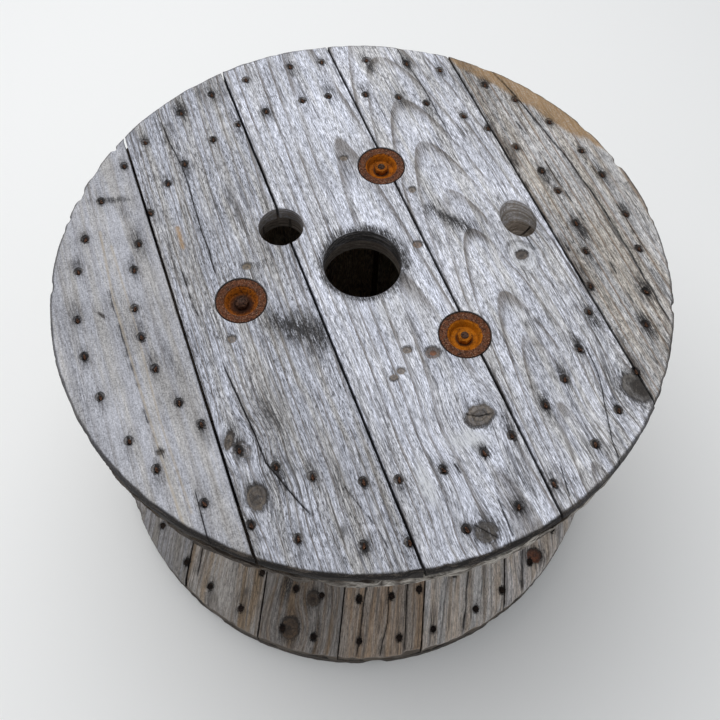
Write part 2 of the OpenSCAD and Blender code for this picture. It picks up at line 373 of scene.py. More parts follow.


# a knot or a small round mark: rings, radial splits and a dark outline round a core, with painted shade on
# one side of it
def makeKnotGroup():
    tree, source, result = newGroup("knotMark", dict(
        Color="Color", Flat="Vector", Centre="Vector", Spread="Vector", Turn=0.0, Rings=3.0, Shade=0.85,
        Outline=0.7, LineWidth=0.2, Split=1.0, Hollow=0.65, Core=(0.2, 0.15, 0.11),
        Dark=(0.03, 0.026, 0.024), Ring=(0.34, 0.31, 0.28)),
        dict(Color="Color"))
    offset = tree.nodes.new("ShaderNodeVectorMath")
    offset.operation = "SUBTRACT"
    feed(tree, offset.inputs[0], source["Flat"])
    feed(tree, offset.inputs[1], source["Centre"])
    turned = tree.nodes.new("ShaderNodeVectorRotate")
    turned.rotation_type = "Z_AXIS"
    feed(tree, turned.inputs["Vector"], offset.outputs[0])
    feed(tree, turned.inputs["Angle"], times(tree, source["Turn"], -1.0))
    a, b = parts(tree, stretch(tree, turned.outputs[0], source["Spread"]))[:2]
    wobble = speckle(tree, source["Flat"], (0.22, 0.16, 0.2), 3, 0.6)
    grit = speckle(tree, source["Flat"], (0.8, 0.5, 0.5), 2, 0.6)
    reach = calc(tree, "SQRT", plus(tree, times(tree, a, a), times(tree, b, b)))
    reach = plus(tree, reach, swing(tree, wobble, 0.6))
    onFace = between(tree, parts(tree, source["Flat"])[2], 0.3, 1.5, 1.0, 0.0)
    core = times(tree, between(tree, reach, 0.9, 1.08, 1.0, 0.0), onFace)
    line = calc(tree, "ABSOLUTE", minus(tree, reach, 1.04))
    line = times(tree, between(tree, line, 0.04, source["LineWidth"], 1.0, 0.0), onFace)
    line = times(tree, line, between(tree, grit, 0.3, 0.6, 0.45, 1.0))
    wave = calc(tree, "SINE", times(tree, reach, times(tree, source["Rings"], 2 * pi)))
    rings = between(tree, plus(tree, wave, swing(tree, grit, 1.4)), 0.0, 1.1, 0.0, 0.55)
    # painted shade: one side of the mark and its outline there are darkened, and its middle too, which in a
    # knot is its pith and in a pit painted shade
    towardPaintedShade = plus(tree, times(tree, a, 0.7), b)
    paintedSideShade = between(tree, towardPaintedShade, -0.5, 1.0, 0.0, 0.6)
    hollow = between(tree, plus(tree, reach, times(tree, towardPaintedShade, 0.4)), 0.1, 0.75, source["Hollow"], 0.0)
    paintedSideShade = calc(tree, "MAXIMUM", paintedSideShade, hollow)
    line = times(tree, line, between(tree, towardPaintedShade, -0.9, 0.6, 0.45, 1.1), clamp=True)
    spoke = tree.nodes.new("ShaderNodeCombineXYZ")
    feed(tree, spoke.inputs[0], times(tree, calc(tree, "ARCTAN2", b, a), 1.5))
    feed(tree, spoke.inputs[1], times(tree, reach, 0.5))
    split = calc(tree, "ABSOLUTE", minus(tree, speckle(tree, spoke.outputs[0], 1.0, 1), 0.5))
    split = times(tree, between(tree, split, 0.01, 0.05, 0.7, 0.0), between(tree, reach, 0.6, 0.9, 1.0, 0.0))
    check = calc(tree, "ABSOLUTE", plus(tree, b, swing(tree, wobble, 1.4)))
    check = times(tree, between(tree, check, 0.03, 0.1, 1.0, 0.0), between(tree, reach, 0.5, 0.85, 1.0, 0.0))
    split = calc(tree, "MAXIMUM", split, times(tree, check, source["Split"]))
    tone = tint(tree, rings, source["Core"], source["Dark"])
    tone = tint(tree, between(tree, grit, 0.52, 0.7, 0.0, 0.4), tone, source["Ring"])
    tone = tint(tree, paintedSideShade, tone, source["Dark"])
    tone = tint(tree, times(tree, split, 0.85), tone, source["Dark"])
    colour = tint(tree, times(tree, core, source["Shade"]), source["Color"], tone)
    colour = tint(tree, times(tree, line, source["Outline"]), colour, source["Dark"])
    feed(tree, result["Color"], colour)
    return tree


# rust: brown and dark scale with brighter powder and pale flecks
def makeRustGroup():
    tree, source, result = newGroup("rustScale", dict(
        Place="Vector", Brown=(0.12, 0.05, 0.03), Dark=(0.03, 0.02, 0.017), Powder=(0.5, 0.16, 0.02),
        PowderShare=0.3, FleckShare=0.6, Grain=0.5, Fleck=(0.3, 0.22, 0.18)),
        dict(Color="Color", Rough="Float", Height="Float"))
    broad = speckle(tree, source["Place"], 0.16, 3)
    scaleNoise = speckle(tree, source["Place"], 0.4, 4, 0.65)
    grit = speckle(tree, source["Place"], 0.85, 2, 0.7)
    colour = tint(tree, between(tree, scaleNoise, 0.42, 0.56), source["Dark"], source["Brown"])
    powder = between(tree, plus(tree, broad, times(tree, grit, 0.25)), 0.45, 0.7)
    powder = times(tree, powder, source["PowderShare"])
    powder = plus(tree, powder, times(tree, source["PowderShare"], 0.35), clamp=True)
    colour = tint(tree, powder, colour, source["Powder"])
    colour = tint(tree, between(tree, grit, 0.57, 0.64, 0.0, source["FleckShare"]), colour, source["Fleck"])
    colour = tint(tree, between(tree, grit, 0.36, 0.44, source["FleckShare"], 0.0), colour, source["Dark"])
    feed(tree, result["Color"], colour)
    feed(tree, result["Rough"], between(tree, scaleNoise, 0.3, 0.7, 0.95, 0.7))
    feed(tree, result["Height"], plus(tree, scaleNoise, times(tree, grit, source["Grain"])))
    return tree


grainGroup, ageGroup, rustGroup = makeGrainGroup(), makeAgeGroup(), makeRustGroup()
knotGroup, gapShadeGroup = makeKnotGroup(), makeGapShadeGroup()


def newFinish(name):
    material = bpy.data.materials.new(name)
    material.use_nodes = True
    tree = material.node_tree
    shader = tree.nodes["Principled BSDF"]
    return material, tree, shader


def addBump(tree, shader, height, depth, strength):
    bump = tree.nodes.new("ShaderNodeBump")
    bump.inputs["Distance"].default_value = depth * mm
    bump.inputs["Strength"].default_value = strength
    feed(tree, bump.inputs["Height"], height)
    feed(tree, shader.inputs["Normal"], bump.outputs[0])


# silver and warm are the wood's two tones, line its rings, dark its pores; spacing and pitSize are in mm
woodDefaults = dict(
    silver=(0.50, 0.515, 0.575), warm=(0.40, 0.375, 0.335), line=(0.13, 0.11, 0.092),
    dark=(0.05, 0.047, 0.048), torn=(0.13, 0.105, 0.085), stain=(0.022, 0.0205, 0.021),
    edge=(0.016, 0.0142, 0.0135), layer=(0.062, 0.052, 0.044), pale=(0.60, 0.61, 0.63),
    fresh=(0.42, 0.27, 0.13), spacing=5.5, lineShare=0.7, bandShare=0.5, poreShare=0.7, fuzz=0.35,
    low=0.42, high=1.5, calm=0.0, pitSize=3.0, bumpDepth=0.7, bumpStrength=0.75)
knotDefaults = dict(
    turn=0, strength=0.85, outline=0.7, split=1.0, hollow=0.65, core=(0.19, 0.155, 0.125),
    ring=(0.26, 0.23, 0.20), ringWidth=5.5)
pitLook = dict(strength=0.85, outline=0.8, core=(0.26, 0.205, 0.155), rings=0.0, split=0.0)


def woodFinish(name, knots=(), **changes):
    look = {**woodDefaults, **changes}
    material, tree, shader = newFinish(name)
    place, marks, flat = objectPlace(tree), attribute(tree, "marks"), attribute(tree, "flat")
    grain = useGroup(tree, grainGroup, look, Grain=attribute(tree, "grain"), Place=place)
    age = useGroup(
        tree, ageGroup, look, Color=grain["Color"], Fibre=grain["Fibre"], Marks=marks,
        Wear=attribute(tree, "wear"), Place=place)
    colour = age["Color"]
    for knot in knots:
        width, length = knot["size"]
        shown = {**knotDefaults, "rings": max(knot["size"]) / knotDefaults["ringWidth"], **knot}
        marked = useGroup(
            tree, knotGroup, Color=colour, Flat=flat, Centre=(*knot["at"], 0),
            Spread=(1 / width, 1 / length, 0), Turn=radians(shown["turn"]), Rings=shown["rings"],
            Shade=shown["strength"], Outline=shown["outline"], LineWidth=1.8 / min(knot["size"]) + 0.06,
            Split=shown["split"], Hollow=shown["hollow"], Core=shown["core"], Ring=shown["ring"])
        colour = marked["Color"]
    gaps = useGroup(
        tree, gapShadeGroup, look, Color=colour, Marks=marks, Nail=attribute(tree, "nail"), Place=place)
    feed(tree, shader.inputs["Base Color"], gaps["Color"])
    feed(tree, shader.inputs["Roughness"], grain["Rough"])
    shader.inputs["Specular IOR Level"].default_value = 0.25
    addBump(tree, shader, grain["Height"], look["bumpDepth"], look["bumpStrength"])
    return material


# seeded value noise for the moves of the points: one even value from 0 to 1 at each corner of a square
def lattice(i, j, seed):
    h = (i * 374761393 + j * 668265263 + seed * 974634777) & 0xFFFFFFFF
    h = ((h ^ (h >> 13)) * 1274126177) & 0xFFFFFFFF
    return ((h ^ (h >> 16)) & 0xFFFF) / 65535.0


def softNoise(x, y, seed):
    i, j = np.floor(x).astype(np.int64), np.floor(y).astype(np.int64)
    u, v = x - i, y - j
    u, v = u * u * (3 - 2 * u), v * v * (3 - 2 * v)
    low = lattice(i, j, seed) * (1 - u) + lattice(i + 1, j, seed) * u
    high = lattice(i, j + 1, seed) * (1 - u) + lattice(i + 1, j + 1, seed) * u
    return low * (1 - v) + high * v


def smoothStep(value, low, high):
    share = np.clip((value - low) / (high - low), 0, 1)
    return share * share * (3 - 2 * share)


def ellipseReach(x, y, spot):
    turn = radians(spot.get("turn", 0))
    dx, dy = x - spot["at"][0], y - spot["at"][1]
    a = (dx * cos(turn) + dy * sin(turn)) / spot["size"][0]
    b = (-dx * sin(turn) + dy * cos(turn)) / spot["size"][1]
    return np.hypot(a, b)


# the places of the pieces on each face: x across the boards, y along them, z out of the face, in mm
def localFrame(along, up, origin):
    across = along.cross(up)
    return Matrix.Scale(1 / mm, 4) @ Matrix((across, along, up)).to_4x4() @ Matrix.Translation(-origin)


def plainCopy(node):
    bm = bmesh.new()
    bm.from_mesh(frame["nodes"][node].data)
    bmesh.ops.remove_doubles(bm, verts=bm.verts, dist=0.001 * mm)
    bmesh.ops.dissolve_limit(bm, angle_limit=radians(0.5), verts=bm.verts, edges=bm.edges)
    return bm


def withEdges(faces):
    geometry = set(faces)
    for face in faces:
        geometry.update(face.edges)
        geometry.update(face.verts)
    return list(geometry)


def facesOf(result):
    return [item for item in result["geom"] if isinstance(item, bmesh.types.BMFace) and item.is_valid]


# cuts the faces at sorted places along an axis, the middle one first, and hands each half on to its own cuts
def sliceFaces(bm, faces, axis, places):
    if not places or not faces:
        return faces
    half = len(places) // 2
    place = places[half]
    below, above, crossing = [], [], []
    for face in faces:
        spans = [v.co[axis] for v in face.verts]
        if max(spans) <= place + 0.001:
            below.append(face)
        elif min(spans) >= place - 0.001:
            above.append(face)
        else:
            crossing.append(face)
    if crossing:
        normal = Vector((0, 0, 0))
        normal[axis] = 1
        result = bmesh.ops.bisect_plane(
            bm, geom=withEdges(crossing), dist=0.0005, plane_co=normal * place, plane_no=normal)
        for face in facesOf(result):
            (above if face.calc_center_bounds()[axis] > place else below).append(face)
    return sliceFaces(bm, below, axis, places[:half]) + sliceFaces(bm, above, axis, places[half + 1:])


def evenly(low, high, step):
    count = max(2, round((high - low) / step))
    return list(np.linspace(low, high, count + 1)[1:-1])


# a crack's given points, with small seeded bends between them
def wanderPath(points, seed, step=16.0, sway=0.9):
    path = [np.array(points[0], float)]
    dice = np.random.default_rng(seed)
    for a, b in zip(points, points[1:]):
        a, b = np.array(a, float), np.array(b, float)
        length = np.linalg.norm(b - a)
        count = max(1, int(length / step))
        side = np.array([-(b - a)[1], (b - a)[0]]) / length
        for k in range(1, count + 1):
            sideStep = sway * (dice.random() - 0.5) * 2 * (k < count)
            path.append(a + (b - a) * k / count + side * sideStep)
    return path


def segmentDistance(x, y, a, b):
    line = b - a
    share = np.clip(((x - a[0]) * line[0] + (y - a[1]) * line[1]) / line.dot(line), 0, 1)
    return np.hypot(x - a[0] - share * line[0], y - a[1] - share * line[1]), share


def cutCrack(bm, faces, path, halfWidth):
    low = np.min(path, axis=0) - 8
    high = np.max(path, axis=0) + 8
    near = []
    for face in faces:
        if face.is_valid:
            c = face.calc_center_bounds()
            if low[0] < c.x < high[0] and low[1] < c.y < high[1] and c.z > -1:
                near.append(face)
    for a, b in zip(path, path[1:]):
        line = (b - a) / np.linalg.norm(b - a)
        normal = Vector((-line[1], line[0], 0))
        for offset in (-halfWidth, 0.0, halfWidth):
            picked = []
            for face in near:
                c = face.calc_center_bounds()
                share = (c.x - a[0]) * line[0] + (c.y - a[1]) * line[1]
                aside = (c.x - a[0]) * normal.x + (c.y - a[1]) * normal.y
                if -1.5 < share < np.linalg.norm(b - a) + 1.5 and abs(aside) < 4:
                    picked.append(face)
            if not picked:
                continue
            point = Vector((a[0], a[1], 0)) + normal * offset
            result = bmesh.ops.bisect_plane(
                bm, geom=withEdges(picked), dist=0.0005, plane_co=point, plane_no=normal)
            known = set(near)
            fresh = [face for face in facesOf(result) if face not in known]
            near = [face for face in near if face.is_valid] + fresh
            faces.extend(fresh)


def storeVectors(mesh, name, *columns):
    values = np.stack([np.broadcast_to(c, len(mesh.vertices)) for c in columns], axis=1)
    layer = mesh.attributes.new(name, "FLOAT_VECTOR", "POINT")
    layer.data.foreach_set("vector", values.astype(np.float32).ravel())


# the corner between two faces worn round: near and deep are the distances from each face
def wornCorner(near, deep, size):
    a, b = np.clip(size - near, 0, size), np.clip(size - deep, 0, size)
    inside = (near < size) & (deep < size)
    share = np.where(inside, np.maximum(a, b) / np.maximum(np.hypot(a, b), 1e-6), 1)
    return np.where(inside, a * (1 - share), 0), np.where(inside, b * (1 - share), 0)


def ringField(x, y, board, seed):
    xs, ys = x.copy(), y.copy()
    for knot in board.get("knots", []):
        if knot.get("bend", True):
            size = max(knot["size"])
            dx, dy = xs - knot["at"][0], ys - knot["at"][1]
            pull = np.exp(-(dy / (2.4 * size)) ** 2)
            pull = pull * np.exp(-(dx / (4 * size)) ** 2)
            xs = knot["at"][0] + dx * (1 - pull * size * 0.9 / (np.abs(dx) + size * 1.1))
    sway = (softNoise(xs / 90, ys / 380, seed) - 0.5) * board.get("sway", 4) * 1.2
    sway += (softNoise(xs / 25, ys / 130, seed + 1) - 0.5) * 1.2
    depth = board.get("pithDepth", 45) + board.get("taper", 0.03) * (ys - board.get("archAt", 0))
    ring = np.hypot(xs + sway - board["pith"], depth)
    ring += (softNoise(ring / 8, ys * 0, seed + 2) - 0.5) * 3
    return ring, xs + sway


def boardMarks(x, y, ring, board, seed):
    stain, pale, drop = (np.zeros_like(x) for k in range(3))
    ragged = softNoise(x / 7, y / 16, seed + 5)
    for spot in board.get("stains", []):
        reach = ellipseReach(x, y, spot) * (0.75 + 0.55 * ragged)
        stain = np.maximum(stain, spot.get("strength", 0.7) * np.exp(-reach ** 2 * 1.3))
    for spot in board.get("palePatches", []):
        reach = ellipseReach(x, y, spot) * (0.75 + 0.55 * ragged)
        pale = np.maximum(pale, spot.get("strength", 0.8) * np.exp(-reach ** 3))
    for spot in board.get("knots", []):
        reach = ellipseReach(x, y, spot)
        mask = 1 - smoothStep(reach, 0.88, 1.12)
        stain = np.maximum(stain, np.exp(-reach ** 2 * 0.4) * spot.get("halo", 0.0))
        ring = np.where(reach < 1.0, reach * max(spot["size"]) * 1.5, ring)
        drop += mask * spot.get("depth", 0.4) * (0.6 + 0.8 * softNoise(x / 2.5, y / 2.5, seed + 8))
    for spot in board.get("pits", []):
        drop += (1 - smoothStep(ellipseReach(x, y, spot), 0.55, 1.1)) * spot.get("depth", 1.2)
    return stain, pale, drop, ring


def nearestNail(x, y, nails):
    aside, ahead = np.full_like(x, 99.0), np.full_like(x, 99.0)
    for nx, ny in nails:
        closer = np.hypot(x - nx, y - ny) < np.hypot(aside, ahead)
        aside, ahead = np.where(closer, x - nx, aside), np.where(closer, y - ny, ahead)
    return aside, ahead


haloSetup = dict(length=(8, 22), width=(5, 9), power=(0.25, 1.1), shift=0.5, core=0.6, coreWidth=6.5)


# dark streaks that run along the wood from each nail
def nailHalos(x, y, nails, seed, strength):
    halo = np.zeros_like(x)
    dice = np.random.default_rng(seed)
    for nx, ny in nails:
        length, width = dice.uniform(*haloSetup["length"]), dice.uniform(*haloSetup["width"])
        power = strength * dice.uniform(*haloSetup["power"])
        shift = dice.uniform(-haloSetup["shift"], haloSetup["shift"]) * length
        reach = np.hypot((x - nx) / width, (y - ny - shift) / length)
        halo = np.maximum(halo, power * np.exp(-reach ** 2))
        core = np.exp(-(np.hypot(x - nx, y - ny) / haloSetup["coreWidth"]) ** 2)
        halo = np.maximum(halo, haloSetup["core"] * core)
    return halo


def islandPlaces(node):
    bm = bmesh.new()
    bm.from_mesh(frame["nodes"][node].data)
    bmesh.ops.remove_doubles(bm, verts=bm.verts, dist=0.001 * mm)
    seen = set()
    places = []
    for start in bm.verts:
        if start in seen:
            continue
        seen.add(start)
        group, queue = [], [start]
        while queue:
            vert = queue.pop()
            group.append(vert.co)
            for edge in vert.link_edges:
                other = edge.other_vert(vert)
                if other not in seen:
                    seen.add(other)
                    queue.append(other)
        low = [min(p[k] for p in group) for k in range(3)]
        high = [max(p[k] for p in group) for k in range(3)]
        places.append((Vector([(a + b) / 2 for a, b in zip(low, high)]), low[2], high[2]))
    bm.free()
    return places


# the back of a board and the walls of its nail holes stay as they are
def isHidden(part, thick, nails):
    if all(v.co.z < 0.05 - thick for v in part.verts):
        return True
    if abs(part.normal.z) > 0.5 and part.calc_center_bounds().z > -0.05:
        return False
    c = part.calc_center_bounds()
    return any(abs(c.x - nx) < 5.5 and abs(c.y - ny) < 5.5 for nx, ny in nails)


# the shown faces are cut fine enough for the wear, finer at the edges, and along the board's cracks
def cutBoard(bm, face, board, thick, seed):
    xs, ys = [v.co.x for v in bm.verts], [v.co.y for v in bm.verts]
    xLow, xHigh, yLow, yHigh = min(xs), max(xs), min(ys), max(ys)
    wallCuts = sorted(-h for h in face["wallCuts"] if h < thick - 0.5)
    shown = [f for f in bm.faces if not isHidden(f, thick, face["nails"])]
    shown = sliceFaces(bm, shown, 2, wallCuts)
    xCuts = [xLow + 0.5, xLow + 1.2, xHigh - 1.2, xHigh - 0.5]
    xCuts += evenly(xLow + 1.2, xHigh - 1.2, face["acrossStep"])
    outer = max(abs(xLow), abs(xHigh))
    rimStart = max(0.0, drumRadius ** 2 - outer ** 2) ** 0.5 - 8
    rimStart = max(rimStart, 0.35 * drumRadius)
    yCuts = evenly(yLow, -rimStart, face["rimStep"]) + evenly(-rimStart, rimStart, face["alongStep"])
    yCuts += evenly(rimStart, yHigh, face["rimStep"])
    shown = sliceFaces(bm, shown, 0, sorted(xCuts))
    shown = sliceFaces(bm, shown, 1, sorted(yCuts))
    paths = []
    for k, crackLine in enumerate(board.get("cracks", [])):
        path = wanderPath(crackLine["points"], seed * 31 + k, sway=crackLine.get("sway", 0.9))
        cutCrack(bm, shown, path, crackLine["width"] / 2)
        paths.append((crackLine, path))
    return paths, xLow, xHigh


# how far the rim's points move in, down from the face and up from the back
def wornRim(x, z, rim, deep, thick, angle, front, face, seed):
    rimSize = face["rimWear"] * (0.65 + 0.8 * softNoise(angle / 34, 0 * x, seed + 20))
    inward, down = wornCorner(rim, deep, rimSize * (1 + face["frontWear"] * front))
    backMove, upBack = wornCorner(rim, np.clip(thick - deep, 0, None), face["backWear"])
    rough = (softNoise(angle / 9, z / 7, seed + 21) ** 2) * face["rimRough"]
    rough += (softNoise(angle / 2.6, z / 2.2, seed + 22)) * face["rimRough"] * 0.35
    chips = np.zeros_like(x)
    dice = np.random.default_rng(seed + 23)
    for k in range(face["chips"]):
        place = dice.uniform(-pi, pi) * drumRadius
        width, bite = dice.uniform(*boardWear["chipWidth"]), dice.uniform(*boardWear["chipBite"])
        low = dice.random() < 0.5
        fade = smoothStep(deep if low else thick - deep, 0, thick * 0.9)
        chips = np.maximum(chips, bite * fade * np.exp(-((angle - place) / width) ** 4))
    recess = face["recess"] * front * smoothStep(deep, 3, thick)
    recess = recess * (0.5 + softNoise(angle / 25, 0 * x, seed + 26))
    nearRim = (1 - smoothStep(rim, 0, 7)) * (rim < 7)
    return inward + backMove + (rough + chips + recess) * nearRim, down, upBack


# tears and cracks: how deep they go, the painted shade inside the cracks, and their torn and stain shades
def openMarks(x, y, onFace, board, paths, seed):
    sink, crackShade, torn, stain = (np.zeros_like(x) for k in range(4))
    for tear in board.get("torn", []):
        splinter = softNoise(x / 1.6, y / 17, seed + 41)
        mask = 1 - smoothStep(ellipseReach(x, y, tear), 0.55, 1.05)
        sink = sink + mask * tear["depth"] * (0.25 + splinter)
        torn = np.maximum(torn, mask * 0.8)
        stain = np.maximum(stain, mask * smoothStep(splinter, 0.45, 0.8) * 0.8)
    for crackLine, path in paths:
        nearest, along = np.full_like(x, 1e9), np.zeros_like(x)
        width, total = crackLine["width"], len(path) - 1
        for k, (a, b) in enumerate(zip(path, path[1:])):
            distance, share = segmentDistance(x, y, a, b)
            closer = distance < nearest
            nearest = np.where(closer, distance, nearest)
            along = np.where(closer, (k + share) / total, along)
        taper = smoothStep(np.minimum(along, 1 - along), -0.02 if crackLine.get("open") else 0.0, 0.08)
        if crackLine.get("dashed"):
            taper = taper * smoothStep(softNoise(along * total * 2.2, 0 * x, seed + 43), 0.3, 0.6)
        sink = sink + ((nearest < width * 0.3) & onFace) * crackLine["depth"] * taper
        # painted shade inside the crack, darkest on its line
        shade = np.exp(-(nearest / (width * 0.62)) ** 4) * taper * crackLine.get("dark", 1)
        crackShade = np.maximum(crackShade, shade)
        stain = np.maximum(stain, 0.35 * np.exp(-(nearest / 3.5) ** 2) * taper * onFace)
    return sink, crackShade, torn, stain


# wood with the weather off it: resin lines and a patch on the rim
def freshWood(x, y, board, seed):
    fresh = np.zeros_like(x)
    for line in board.get("resin", []):
        nearest = np.full_like(x, 1e9)
        for a, b in zip(line["points"], line["points"][1:]):
            distance, share = segmentDistance(x, y, np.array(a, float), np.array(b, float))
            nearest = np.minimum(nearest, distance)
        fresh = np.maximum(fresh, line["strength"] * np.exp(-(nearest / line["width"]) ** 2))
    if "freshPatch" in board:
        patch = board["freshPatch"]
        reach = x * cos(radians(patch["toward"])) + y * sin(radians(patch["toward"]))
        reach = reach + 7 * (softNoise(x / 9, y / 22, seed + 44) - 0.5)
        fresh = np.maximum(fresh, 0.85 * smoothStep(reach, patch["start"] - 3, patch["start"] + 4))
    return fresh


# sideShade is the painted shade down the walls of the seams
boardWear = dict(
    chipWidth=(3, 12), chipBite=(0.8, 3.0), cupping=0.5, unevenness=0.35, dents=0.5,     # mm
    seamShade=0.45, sideShade=0.75, ringShade=0.95, lipShade=0.72)


# one board of a flange, from its plain solid to a worn one
def makeBoard(node, face, board, seed):
    toLocal = localFrame(face["along"], face["up"], Vector((0, 0, face["level"])))
    bm = plainCopy(node)
    bm.transform(toLocal)
    thick = -min(v.co.z for v in bm.verts)
    paths, xLow, xHigh = cutBoard(bm, face, board, thick, seed)
    mesh = meshFrom(bm, node)

    x, y, z = meshPoints(mesh)
    r = np.hypot(x, y)
    rim, deep = np.clip(drumRadius - r, 0, None), np.clip(-z, 0, None)
    side = np.minimum(x - xLow, xHigh - x)
    angle = np.arctan2(y, x) * drumRadius
    onFace = deep < 0.02
    flat = x, y, deep
    ring, flow = ringField(x, y, board, seed)
    stain, pale, drop, ring = boardMarks(x, y, ring, board, seed)
    nails = [p for p in face["nails"] if xLow - 12 < p[0] < xHigh + 12]
    halo = nailHalos(x, y, nails, seed + 60, face["haloStrength"] * board.get("haloShare", 1))
    aside, ahead = nearestNail(x, y, nails)

    # the worn rim, seams and bore
    front = smoothStep((x * face["front"][0] + y * face["front"][1]) / np.maximum(r, 1), 0.4, 0.95)
    rimMove, down, upBack = wornRim(x, z, rim, deep, thick, angle, front, face, seed)
    sideSize = face["seamWear"] * (0.5 + 1.1 * softNoise(y / 11, x * 0 + (x > 0), seed + 24))
    sideNear, seamDown = wornCorner(np.clip(side, 0, None), deep, sideSize)
    sideWay = np.where(x - xLow < xHigh - x, 1, -1)
    boreNear, boreDown = wornCorner(np.clip(r - boreRadius, 0, None), deep, face["boreWear"])
    boreNear *= r < boreRadius + 12
    boreDown *= r < boreRadius + 12

    # the face itself: grain ridges, cupping, dents, knots, tears and cracks
    wave = smoothStep(np.sin(2 * pi * ring / board["finish"]["spacing"]), 0.0, 0.95)
    calm = np.minimum.reduce([smoothStep(rim, 1, 7), smoothStep(side, 0.5, 4)])
    for seat in face["seats"]:
        calm = np.minimum(calm, smoothStep(np.hypot(x - seat[0], y - seat[1]), seat[2] + 0.5, seat[2] + 5))
    ridge = board.get("ridge", 0.4) * (1 - wave) * (0.6 + 0.6 * softNoise(x / 40, y / 90, seed + 30))
    middle, half = (xLow + xHigh) / 2, (xHigh - xLow) / 2
    sag = boardWear["cupping"] * ((x - middle) / half) ** 2
    sag = sag + boardWear["unevenness"] * softNoise(x / 50, y / 120, seed + 31)
    dents = boardWear["dents"] * smoothStep(softNoise(x / 3.2, y / 8, seed + 32), 0.72, 0.95)
    opened, crackShade, torn, openStain = openMarks(x, y, onFace, board, paths, seed)
    sink = (ridge + sag + dents) * calm + drop * calm + opened
    fresh = freshWood(x, y, board, seed)

    # stains at the nails, the seams and the bore
    ringWidth = face["boreStain"]
    boreRing = (1 - smoothStep(r - boreRadius, 3, ringWidth + 0.01)) * (r < boreRadius + ringWidth)
    boreSide = 0.55 + 0.45 * (0.9 * x + 0.42 * y) / np.maximum(r, 1)
    boreRing = boreRing * boreSide * (0.5 + 0.9 * softNoise(x / 9, y / 9, seed + 45))
    lip = 1 - smoothStep(r - boreRadius, 2.5, 5.5 + 8.0 * softNoise(x / 5, y / 5, seed + 46))
    lip = boardWear["lipShade"] * lip * (ringWidth > 0) * (r < boreRadius + 14)
    seamDark = np.exp(-np.clip(side, 0, None) / 0.9) * boardWear["seamShade"] * onFace
    stain = np.maximum.reduce([stain, halo, openStain, np.clip(boreRing, 0, boardWear["ringShade"]), lip,
                               seamDark])

    # shades of the rim; the seams' walls are darkened with painted shade, the bore's and the holes' walls
    # with their end grain and painted shade
    rimShade = face["rimShade"] + (1 - face["rimShade"]) * front
    edge = np.where(rim < 0.4, smoothStep(deep, 0.5, face["rimWear"]) * rimShade, 0)
    fade = (0.9 + 0.9 * softNoise(angle / 14, 0 * x, seed + 27)) * face["frontWear"] * front
    fade = face["rimWear"] * (1 + fade)
    edge = np.maximum(edge, face["rimFade"] * (1 + 0.4 * front) * (1 - smoothStep(rim, fade * 0.6, fade)))
    walls = ((side < 0.05) | (r < boreRadius + 0.5)) & (deep > 0.3)
    wallShade = smoothStep(deep, 0.3, 3) * np.where(side < 0.05, boardWear["sideShade"], face["boreShade"])
    edge = np.maximum(edge, np.where(walls, wallShade, 0))
    frayed = smoothStep((x * face["frayed"][0] + y * face["frayed"][1]) / np.maximum(r, 1), 0.82, 0.98)
    frayed = frayed * smoothStep(softNoise(angle / 4, z / 3, seed + 28), 0.2, 0.65)
    pale = np.maximum(pale, np.where((rim < 0.4) & (deep > 0.5), face["rimPale"] * frayed, 0))
    inHole = (deep > 0.3) & (rim > 1) & (side > 0.05) & (r > boreRadius + 0.5)
    holed = inHole | ((r < boreRadius + 0.5) & (deep > 0.3))
    torn = np.maximum(torn, np.where(holed, face["holeBrown"] * smoothStep(deep, 0.3, 3), 0))
    torn = np.maximum(torn, face["backShade"] * (deep > thick - 0.05))
    edge = np.maximum(edge, np.where(inHole, smoothStep(deep, 0.3, 5) * face["holeShade"], 0))

    # round the rim and in the holes the lines follow the edge
    turning = (deep > 0.3) & ((rim < 0.4) | holed)
    ring, flow = np.where(turning, deep, ring), np.where(turning, deep * 0.5, flow)
    lengthways = np.where(turning, x + y, y)

    z = z - down * (deep < thick) - seamDown - boreDown - sink * onFace + upBack * (rim < 8)
    x = x + sideWay * sideNear
    inward = (np.maximum(r, 1) - rimMove + boreNear) / np.maximum(r, 1)
    movePoints(mesh, x * inward, y * inward, np.minimum(z, 0))
    storeVectors(mesh, "grain", ring, lengthways, flow)
    storeVectors(mesh, "marks", np.clip(crackShade, 0, 1), np.clip(torn, 0, 1), np.clip(stain, 0, 1))
    storeVectors(mesh, "flat", *flat)
    storeVectors(mesh, "nail", aside, ahead, 1 - smoothStep(np.hypot(aside, ahead), 8, 11))
    storeVectors(mesh, "wear", np.clip(edge, 0, 1), np.clip(fresh, 0, 1), np.clip(pale, 0, 1))
    finishPiece(node, "_worn", mesh, toLocal, board["material"])


# the faces of the two flanges
def grainVector(degrees):
    return Vector((cos(radians(degrees)), sin(radians(degrees)), 0))


def toFace(face, point):
    local = localFrame(face["along"], face["up"], Vector((0, 0, face["level"]))) @ Vector(point)
    return local.x, local.y


def faceSeat(face, washer):
    low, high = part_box(washer)
    x, y = toFace(face, (low + high) / 2)
    return x, y, (high.x - low.x) / 2 / mm


# shades run from 0 to 1, wear and steps are in mm; the front is the rim's side towards the front of the drum
# boreShade and holeShade darken the walls of the bore and the holes: their end grain, and painted shade
faceDefaults = dict(
    recess=0.0, frontWear=0.0, backWear=1.2, seamWear=1.0, boreWear=1.0, boreStain=0,
    rimPale=0.0, rimShade=0.8, boreShade=0.75, backShade=0.0, holeBrown=0.5, holeShade=0.35, haloStrength=0.3)
frayedSide = Vector((0.36, -0.93, 0))        # where the upper flange's inner ply is torn and pale


